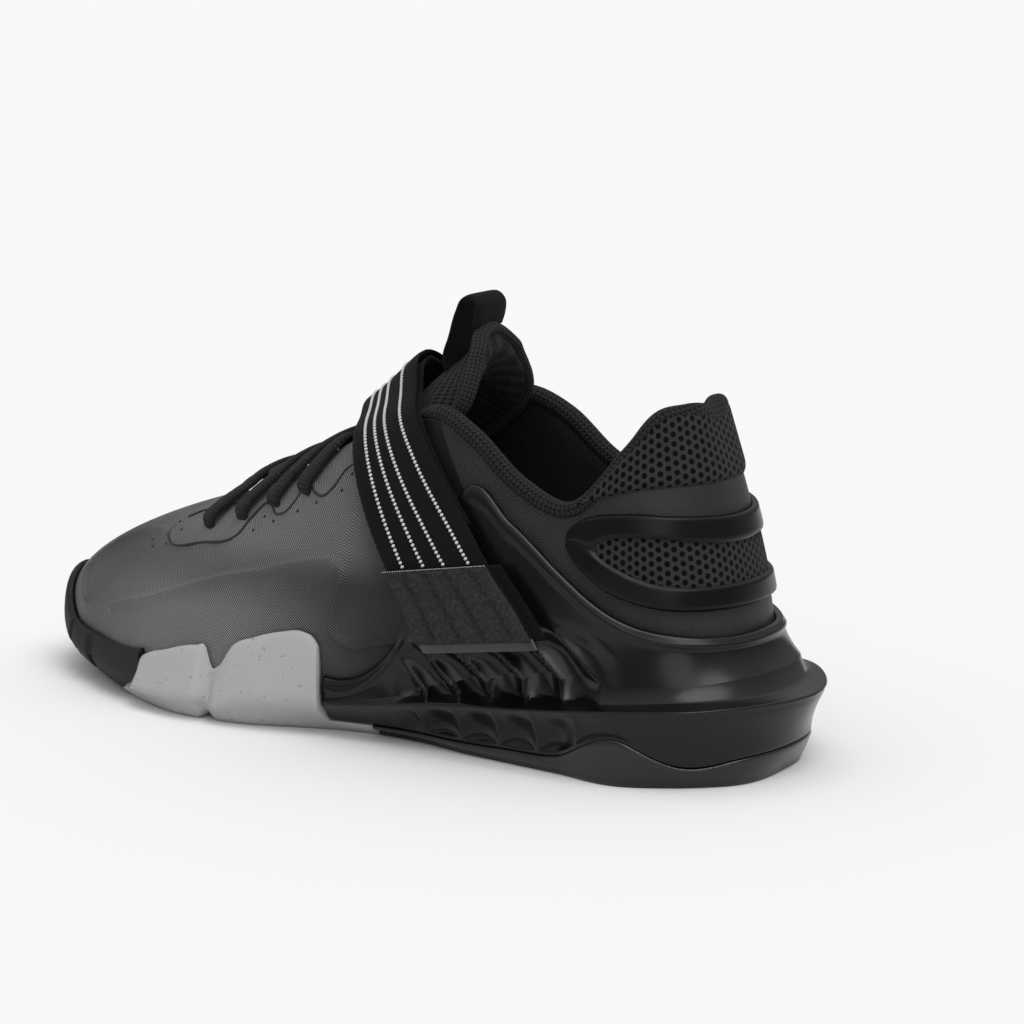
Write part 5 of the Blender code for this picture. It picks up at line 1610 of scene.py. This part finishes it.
def ribbon(name: str, lines: Array, thickness: float, lift: float = 0.0,
           power: float = 8.0) -> Object:
    """Soft-edged band through a grid of points.

    Args:
        name: Name of the piece.
        lines: Points, rows along the band by columns across it by 3.
        thickness: Thickness of the band.
        lift: Distance of its middle off the points.
        power: Squareness of its edges.

    Returns:
        The object.
    """
    normals = grid_normals(lines)
    rows, columns = lines.shape[:2]
    w = np.linspace(-pi / 2, pi / 2, columns)
    half = thickness / 2 * (1 - np.abs(np.sin(w)) ** power * .96) ** .5
    outer = lines + normals * (lift + half)[None, :, None]
    inner = lines + normals * (lift - half)[None, :, None]
    run = runs_along(lines[:, columns // 2])
    wide = runs_along(lines, 1)
    uv = np.stack((np.broadcast_to(run[:, None], wide.shape), wide), 2)
    points = np.concatenate((outer, inner[:, ::-1]), axis=1)
    uvs = np.concatenate((uv, uv[:, ::-1]), axis=1)
    return make_mesh(name, points.reshape(-1, 3), tube_faces(rows, 2 * columns), uvs.reshape(-1, 2))


@dataclass
class Tongue:
    """Padded tongue of ribbed mesh with a bound edge and its webbing pull loop."""

    rows: tuple = ((.752, -.05, .612, .110, .030, .00, .030), (.700, -.05, .664, .170, .060, .00, .036),
                   (.640, -.05, .738, .215, .105, .00, .040), (.580, -.04, .835, .235, .140, .00, .042),
                   (.520, -.04, .955, .250, .170, .01, .046), (.475, -.03, 1.085, .262, .180, .03, .056),
                   (.445, -.03, 1.165, .255, .180, .04, .066), (.422, -.03, 1.215, .220, .160, .05, .074),
                   (.409, -.03, 1.265, .185, .125, .05, .070), (.402, -.03, 1.305, .110, .060, .03, .056))
    loop: tuple = ((.0104, -.0138), (.0110, -.0100), (.0088, -.0030), (.0062, .0050), (.0040, .0090),
                   (.0012, .0100), (-.0012, .0080), (-.0012, .0040), (.0000, .0004))
    pad_grid: tuple = (150, 49)
    binding_grid: tuple = (90, 31)
    binding_from: int = 44
    binding_size: tuple = (.0040, .0052)
    loop_width: float = .0180
    loop_thickness: float = .0018

    def grid(self, rows: int, columns: int) -> tuple[Array, Array, Array]:
        """Outer points, normals and thickness of the tongue."""
        table = np.array(self.rows)
        table[:, 0] = table[:, 0] * LENGTH - REST_FROM_BACK
        steps = np.hypot(np.diff(table[:, 0]), np.diff(table[:, 2]) * ANKLE_HEIGHT)
        keys = np.concatenate(([0], steps.cumsum()))
        fine = spread(table, keys, np.linspace(0, keys[-1], rows))
        w = np.sin(np.linspace(-pi / 2, pi / 2, columns))
        bend = (w * w)[None, :]
        x, y, z, half, drop, back, thick = (fine[:, k][:, None] for k in range(7))
        points = np.stack((x - back * BALL_WIDTH * bend, (y + half * w[None, :]) * BALL_WIDTH,
                           (z - drop * bend) * ANKLE_HEIGHT), 2)
        slope = unit(np.column_stack((np.gradient(fine[:, 0]), np.zeros(rows),
                                      np.gradient(fine[:, 2]) * ANKLE_HEIGHT)))
        up = np.column_stack((slope[:, 2], np.zeros(rows), -slope[:, 0]))
        side = np.zeros((rows, columns, 3))
        side[..., 1] = w[None, :] * .9 * drop / half
        normals = unit(up[:, None] + side)
        ends = np.minimum(1, (np.arange(rows)[::-1] + .3) / 5) ** .5
        return points, normals, thick * ANKLE_HEIGHT * (1 - .4 * bend * bend) * ends[:, None]

    def pad(self) -> Object:
        """The tongue's body."""
        rows, columns = self.pad_grid
        points, normals, thick = self.grid(rows, columns)
        w = np.linspace(-pi / 2, pi / 2, columns)
        edge = ((1 - np.abs(np.sin(w)) ** 8 * .95) ** .5)[None, :, None]
        middle = points - normals * thick[..., None] / 2
        outer = middle + normals * thick[..., None] / 2 * edge
        inner = middle - normals * thick[..., None] / 2 * edge
        run = runs_along(points[:, columns // 2])
        wide = runs_along(points, 1)
        uv = np.stack((wide, np.broadcast_to(run[:, None], wide.shape)), 2)
        body = make_mesh("tongue_pad", np.concatenate((outer, inner[:, ::-1]), 1).reshape(-1, 3),
                         tube_faces(rows, 2 * columns), np.concatenate((uv, uv[:, ::-1]), 1).reshape(-1, 2))
        return settle(body, "tongue", "tongue", finish=RibbedMesh().make(), fill=.75)

    def binding(self) -> Object:
        """Soft roll round the tongue's free edge."""
        points, normals, thick = self.grid(*self.binding_grid)
        start = self.binding_from
        middle = points - normals * thick[..., None] / 2
        rim = np.concatenate((middle[start:, 0], middle[-1, 1:-1], middle[start:, -1][::-1]))
        up = np.concatenate((normals[start:, 0], normals[-1, 1:-1], normals[start:, -1][::-1]))
        path = smooth_path(rim, 220)
        ups = smooth_path(np.column_stack((rim, up)), 220)[:, 3:]

        def outline(q: float) -> Array:
            """Outline of the roll."""
            return rounded(*self.binding_size, 2.2, 16) * min(1, 20 * q, 20 * (1 - q)) ** .5

        body = swept("tongue_binding", path, outline, ups)
        return settle(body, "tongue", finish=Knit("tongue_knit", color=(.034, .034, .035)).make(), fill=.8)

    def pull_loop(self) -> Object:
        """Loop of webbing at the top."""
        last = self.rows[-1]
        path = smooth_path([(x_at(last[0]) + a, 0, last[2] * ANKLE_HEIGHT + b) for a, b in self.loop], 70)
        y = last[1] * BALL_WIDTH + np.linspace(1, -1, 4) * self.loop_width / 2
        lines = np.stack([path + (0, v, 0) for v in y], 1)
        body = ribbon("pull_webbing", dense(lines, 70, 15), self.loop_thickness, power=6)
        return settle(body, "webbing", "pull_loop", finish=Webbing("loop_webbing", rib=1.1).make())

    def build(self) -> None:
        """All of the tongue."""
        self.pad()
        self.binding()
        self.pull_loop()


@dataclass
class Strap:
    """Doubled instep strap with its patch, pile, stitching, ring and keeper."""

    rows: tuple = ((.386, .455, .370, .246, .470, .430), (.404, .452, .470, .270, .463, .530),
                   (.424, .443, .560, .299, .452, .620), (.453, .425, .705, .335, .428, .765),
                   (.475, .390, .820, .368, .390, .870), (.496, .325, .915, .398, .345, .975),
                   (.515, .230, .975, .425, .280, 1.055), (.532, .110, 1.000, .448, .170, 1.128),
                   (.542, -.030, .995, .463, .010, 1.172), (.539, -.170, .970, .462, -.150, 1.143),
                   (.533, -.240, .953, .456, -.222, 1.117), (.525, -.300, .905, .449, -.280, 1.060),
                   (.510, -.385, .850, .430, -.355, .980), (.494, -.425, .780, .402, -.395, .900))
    threads: tuple = ((.17, .20), (.40, .35), (.62, .51), (.87, .77))
    across: int = 4
    fine_rows: int = 131
    fine_columns: int = 25
    settled_rows: int = 118
    clearance: float = .0006
    patch_rows: float = 2.0
    patch_thickness: float = .0016
    lip: float = .0030
    pile_inset: float = .0035
    thread_rise: float = .0002
    ring_over: float = .0024
    ring_depth: float = .0085
    ring_corner: float = .0026
    keeper_width: float = .0220
    keeper_thickness: float = .0012

    def cloud(self) -> tuple[KDTree, Array, Array, Array]:
        """Points of the upper's outside near the strap with their normals and v."""
        u = np.concatenate((np.linspace(.06, .29, 260), np.linspace(.34, .57, 260)))
        v = np.linspace(.1, 1, 120)
        uu, vv = (a.ravel() for a in np.meshgrid(u, v))
        points = FORM.lifted(uu, vv, BAND_STEP)
        return search_tree(points), points, FORM.normal(uu, vv), vv

    def push(self, cloud: tuple, point: Array, clearance: float) -> tuple[float, Array]:
        """How far, and which way, a point has to move to clear the upper."""
        tree, points, normals, shares = cloud
        _, index, _ = tree.find(point)
        away = point - points[index]
        way = normals[index]
        room = float(away @ way)
        if shares[index] > .985 and room > 0:
            room = float(np.linalg.norm(away))
            way = away / room
        return max(0.0, clearance - room), way

    def lines(self) -> tuple[Array, Array]:
        """Rows of the outer layer and their distances to the layer beneath."""
        cloud = self.cloud()
        pitch = STRAP_THICKNESS + STRAP_LAYER_GAP
        fold = RING_WIRE + STRAP_THICKNESS + .0012
        table = np.array(self.rows) * ((LENGTH, BALL_WIDTH, ANKLE_HEIGHT) * 2)
        table[:, (0, 3)] -= REST_FROM_BACK
        lines, drops = [], []
        for k, row in enumerate(table):
            share = k / (len(table) - 1)
            drop = pitch + (fold - pitch) * share ** 6
            line = np.linspace(row[:3], row[3:], self.across)
            moves = [self.push(cloud, p, drop + STRAP_THICKNESS / 2 + self.clearance) for p in line]
            if k >= len(table) - 2:
                way = np.mean([w for _, w in moves], axis=0)
                line = line + unit(way) * max(d for d, _ in moves)
            else:
                line = np.array([p + w * d for p, (d, w) in zip(line, moves)])
            lines.append(line)
            drops.append(drop)
        fine = dense(np.array(lines), self.fine_rows, self.fine_columns)
        apart = np.interp(np.linspace(0, 1, self.fine_rows), np.linspace(0, 1, len(drops)), drops)
        for i in range(self.settled_rows):
            for j in range(self.fine_columns):
                distance, way = self.push(cloud, fine[i, j], apart[i] + STRAP_THICKNESS / 2 + .0002)
                fine[i, j] += way * distance
        for _ in range(24):
            fine[1:-1] += (fine[:-2] + fine[2:] - 2 * fine[1:-1]) * .25
            fine[:, 1:-1] += (fine[:, :-2] + fine[:, 2:] - 2 * fine[:, 1:-1]) * .06
        return fine, apart

    def build(self) -> None:
        """All of the strap."""
        lines, drops = self.lines()
        normals = grid_normals(lines)
        under = lines - normals * drops[:, None, None]
        along = unit(lines[-1] - lines[-2])
        turn = [lines[-1] - normals[-1] * drops[-1] / 2 * (1 - cos(t)) + along * drops[-1] / 2 * sin(t)
                for t in np.linspace(0, pi, 13)[1:-1]]
        band = ribbon("strap_band", np.concatenate((lines, turn, under[:30:-1])), STRAP_THICKNESS, power=10)
        settle(band, "webbing", "strap", finish=Webbing().make())
        self.patch(lines, normals)
        self.stitching(lines, normals)
        self.ring(lines, normals, drops)

    def patch_end(self) -> int:
        """Last fine row of the patch."""
        return int(round(self.patch_rows / (len(self.rows) - 1) * (self.fine_rows - 1)))

    def patch(self, lines: Array, normals: Array) -> None:
        """End patch and the pile beneath the strap."""
        low = lines[:self.patch_end() + 1]
        lift = (STRAP_THICKNESS + self.patch_thickness) / 2
        settle(ribbon("patch", low, self.patch_thickness, lift=lift, power=12), "moulding", "strap_patch",
               finish=PatchSkin().make())
        fall = unit(low[0] - low[3])
        steps = np.linspace(self.lip, -.0008, 7)
        lip = np.stack([low[0] + fall * step - normals[0] * .0002 for step in steps])
        settle(ribbon("patch_lip", lip, .0022, lift=.0006, power=14), "moulding",
               finish=Moulding("lip_satin", (.035, .035, .036), .34, specular=.4).make())
        wide = unit(low[:, -1] - low[:, 0])
        pile = ribbon("pile", low + wide[:, None] * self.pile_inset, .0012, lift=-.0015)
        settle(pile, "webbing", "strap_pile",
               finish=Knit("pile_cloth", color=(.006, .006, .006), wale=.5, course=.4).make())

    def stitching(self, lines: Array, normals: Array) -> None:
        """Pale dotted lines along the strap and dark rows on the patch."""
        end = self.patch_end()
        w = (1 + np.sin(np.linspace(-pi / 2, pi / 2, lines.shape[1]))) / 2
        dots, dark = [], []
        for low, high in self.threads:
            shares = low + (high - low) * smoothstep(0, .5 * len(lines), np.arange(len(lines)))
            row, face = (np.array([[np.interp(share, w, line[:, k]) for k in range(3)]
                                   for share, line in zip(shares, grid)]) for grid in (lines, normals))
            dots.append((row + face * STRAP_THICKNESS / 2)[end + 1:])
            dark.append((row + face * (STRAP_THICKNESS / 2 + self.patch_thickness + self.thread_rise))[1:end])
        end_row = (lines + normals * (STRAP_THICKNESS / 2 + self.patch_thickness))[end]
        pale = Trees.stitches(Thread("strap_thread", (.62, .62, .61)).make())
        black = Trees.stitches(Thread("patch_thread", (.0015, .0015, .0015)).make())
        for name, rows, tree, spacing, length, width in (
                ("patch_ticks", [end_row], pale, .0009, .0005, .0003),
                ("strap_dots", dots, pale, .00145, .0011, .00125),
                ("patch_stitches", dark, black, .0015, .0012, .0010)):
            piece = Trees.grown(name, rows, tree, True, Spacing=spacing, Length=length, Width=width)
            settle(piece, "webbing")

    def ring(self, lines: Array, normals: Array, drops: Array) -> None:
        """Ring on the inner side and the webbing that holds it."""
        normal = normals[-1].mean(axis=0)
        down = unit((lines[-1] - lines[-4]).sum(axis=0))
        wide = unit(lines[-1][0] - lines[-1][-1])
        front = lines[-1][0] - normal * drops[-1] / 2 + wide * self.ring_over
        rear = lines[-1][-1] - normal * drops[-1] / 2 - wide * self.ring_over
        depth, corner = self.ring_depth, self.ring_corner
        path = []
        for spot, first, second in ((front, wide, -down), (front + down * depth, down, wide),
                                    (rear + down * depth, -wide, down), (rear, -down, -wide)):
            centre = spot - (first + second) * corner
            for t in np.linspace(0, pi / 2, 7):
                path.append(centre + corner * (second * cos(t) + first * sin(t)))
        path = np.array(path)
        sides = zip(path, np.roll(path, -1, 0))
        loop = np.concatenate([np.linspace(a, b, 6, endpoint=False) if np.linalg.norm(b - a) > .002 else [a]
                               for a, b in sides])
        body = swept("wire_ring", loop, lambda q: rounded(RING_WIRE, RING_WIRE, 2.0, 16),
                     np.broadcast_to(normal, loop.shape), closed=True)
        settle(body, "ring", "strap_ring", finish=Moulding("ring_gloss", (.015, .015, .015), .25).make())
        self.keeper((front + rear) / 2 + down * depth, normal, down, wide)

    def keeper(self, middle: Array, normal: Array, down: Array, wide: Array) -> None:
        """Webbing folded round the ring's lower bar and sewn to the upper."""
        reach = (RING_WIRE + self.keeper_thickness) / 2 + GAP
        path = [middle + normal * reach + down * .0050, middle + normal * reach]
        path += [middle + normal * reach * cos(t) - down * reach * sin(t)
                 for t in (pi / 4, pi / 2, 3 * pi / 4)]
        path.append(middle - normal * reach)
        grid = [np.array([p + wide * self.keeper_width * s for s in (.5, .17, -.17, -.5)]) for p in path]
        start = grid[-1]
        for k in range(1, 5):
            z = start[:, 2] + (.620 * ANKLE_HEIGHT - start[:, 2]) * k / 4
            u = np.array([FORM.station((p[0] + REST_FROM_BACK) / LENGTH, -1) for p in start])
            grid.append(FORM.lifted(u, FORM.v_at_height(u, z), BAND_STEP + self.keeper_thickness))
        body = ribbon("keeper_webbing", dense(np.array(grid), 90, 15), self.keeper_thickness, power=8)
        settle(body, "webbing", "ring_keeper", finish=Webbing("keeper_webbing_cloth", rib=.9).make())


@dataclass
class Laces:
    """Flat lace from the lowest bar up over the crossings to the top eyelets."""

    places: tuple = (.690, .642, .596, .553)
    inset: float = .0185
    width: float = .0072
    thickness: float = .0026
    fall: tuple = (1.0, .93, .6, .28)
    lifts: tuple = (-.0010, .0015, .0021, .0020, .0021)
    rises: tuple = (.0040, .0022)

    def side(self, share: float, side: int) -> tuple[Array, Array]:
        """Path from the eyelet to the throat's edge, with the normals."""
        u = FORM.throat_station(share, side)
        drops = np.array([self.inset * part for part in self.fall] + [.0004])
        v = FORM.v_below_edge(u, drops)
        return FORM.lifted(u, v, self.lifts), FORM.normal(np.full(len(drops), u), v)

    def run(self, name: str, start: tuple, end: tuple, rise: float) -> Object:
        """One crossing.

        Args:
            name: Name of the piece.
            start: Path and normals of the first side.
            end: Path and normals of the second side.
            rise: Height of the middle over the throat's edges.

        Returns:
            The object.
        """
        (a, na), (b, nb) = start, end
        middle = (a[-1] + b[-1]) / 2 + (.0002, 0, rise)
        quarter = [(a[-1] * .55 + middle * .45) + (0, 0, rise * .28), middle,
                   (b[-1] * .55 + middle * .45) + (0, 0, rise * .28)]
        up = unit(na[-1] + nb[-1])
        path = np.concatenate((a, quarter, b[::-1]))
        ups = np.concatenate((na, [na[-1] * .5 + up * .5, up, nb[-1] * .5 + up * .5], nb[::-1]))
        both = smooth_path(np.column_stack((path, ups * .001)), 130)
        body = swept(name, both[:, :3], lambda q: rounded(self.width, self.thickness, 2.8, 20), both[:, 3:])
        return settle(body, "webbing", *(("laces",) if name == "lace_bar" else ()), finish=self.finish)

    def build(self) -> None:
        """The bar and the crossings."""
        self.finish = Knit("lace_knit", color=(.028, .028, .029), wale=1.2, course=1.0).make()
        sides = [(self.side(x, 1), self.side(x, -1)) for x in self.places]
        over, under = self.rises
        self.run("lace_bar", *sides[0], under)
        for k, (low, high) in enumerate(zip(sides, sides[1:])):
            self.run(f"lace_over_{k}", low[0], high[1], over)
            self.run(f"lace_under_{k}", low[1], high[0], under)


# Studio

@dataclass
class Studio:
    """Pale floor, soft sky, wide lights and the photo's camera."""

    target: tuple = (.05463, .0, .07188)
    turn: float = 30.76
    pitch: float = 10.64
    distance: float = 1.03995
    lens: float = 114.72
    floor_size: float = 30.0
    floor_tone: float = .805
    suns: tuple = (("key", 150, 62, 1.30, 40), ("fill", 122, 24, .45, 40))

    def floor(self) -> None:
        """The floor."""
        s = self.floor_size
        body = make_mesh("studio_floor", [(-s, -s, 0), (s, -s, 0), (s, s, 0), (-s, s, 0)], [(0, 1, 2, 3)])
        p = Paint("floor_paper")
        body.data.materials.append(p.finish(Base_Color=(self.floor_tone,) * 3 + (1.0,), Roughness=.6,
                                            Specular_IOR_Level=.0))

    def sky(self) -> None:
        """Soft sky, brighter overhead."""
        world = bpy.data.worlds.new("studio_sky")
        world.use_nodes = True
        tree = world.node_tree
        spot = add_node(tree, "ShaderNodeTexCoord", {}, {})
        parts = add_node(tree, "ShaderNodeSeparateXYZ", {}, {0: spot.outputs["Generated"]})
        ramp = add_node(tree, "ShaderNodeMapRange", {}, {"Value": parts.outputs["Z"], "From Min": -.05,
                                                         "To Min": .04, "To Max": 1.08})
        backdrop = tree.nodes["Background"]
        feed(tree, backdrop.inputs["Strength"], ramp.outputs[0])
        feed(tree, backdrop.inputs["Color"], (1, 1, 1, 1))
        bpy.context.scene.world = world

    def sun(self, name: str, azimuth: float, height: float, strength: float, angle: float) -> None:
        """One wide light from a direction, angles in degrees."""
        light = bpy.data.lights.new(name, "SUN")
        light.energy = strength
        light.angle = radians(angle)
        body = bpy.data.objects.new(name, light)
        a, h = radians(azimuth), radians(height)
        way = Vector((cos(a) * cos(h), sin(a) * cos(h), sin(h)))
        body.rotation_euler = way.to_track_quat("Z", "Y").to_euler()
        bpy.context.scene.collection.objects.link(body)

    def camera(self) -> None:
        """The photo's camera."""
        data = bpy.data.cameras.new("photo_camera")
        data.lens = self.lens
        data.sensor_width = 36.0
        data.clip_end = 100.0
        body = bpy.data.objects.new("photo_camera", data)
        t, e = radians(self.turn), radians(self.pitch)
        back = Vector((-sin(t) * cos(e), cos(t) * cos(e), sin(e)))
        body.location = Vector(self.target) + back * self.distance
        body.rotation_euler = back.to_track_quat("Z", "Y").to_euler()
        bpy.context.scene.collection.objects.link(body)
        bpy.context.scene.camera = body

    def build(self) -> None:
        """All of the studio."""
        self.floor()
        self.sky()
        for sun in self.suns:
            self.sun(*sun)
        self.camera()
        bpy.context.scene.view_settings.view_transform = "Standard"


def main() -> None:
    """Builds every piece in order."""
    for piece in (Upper(), HeelFrame(), Midsole(), Outsole(), ForefootClip(), ToeBumper(), Insole(), Tongue(),
                  Strap(), Laces(), Studio()):
        LOG.info("Building %s", type(piece).__name__)
        piece.build()


if __name__ == "__main__":
    main()
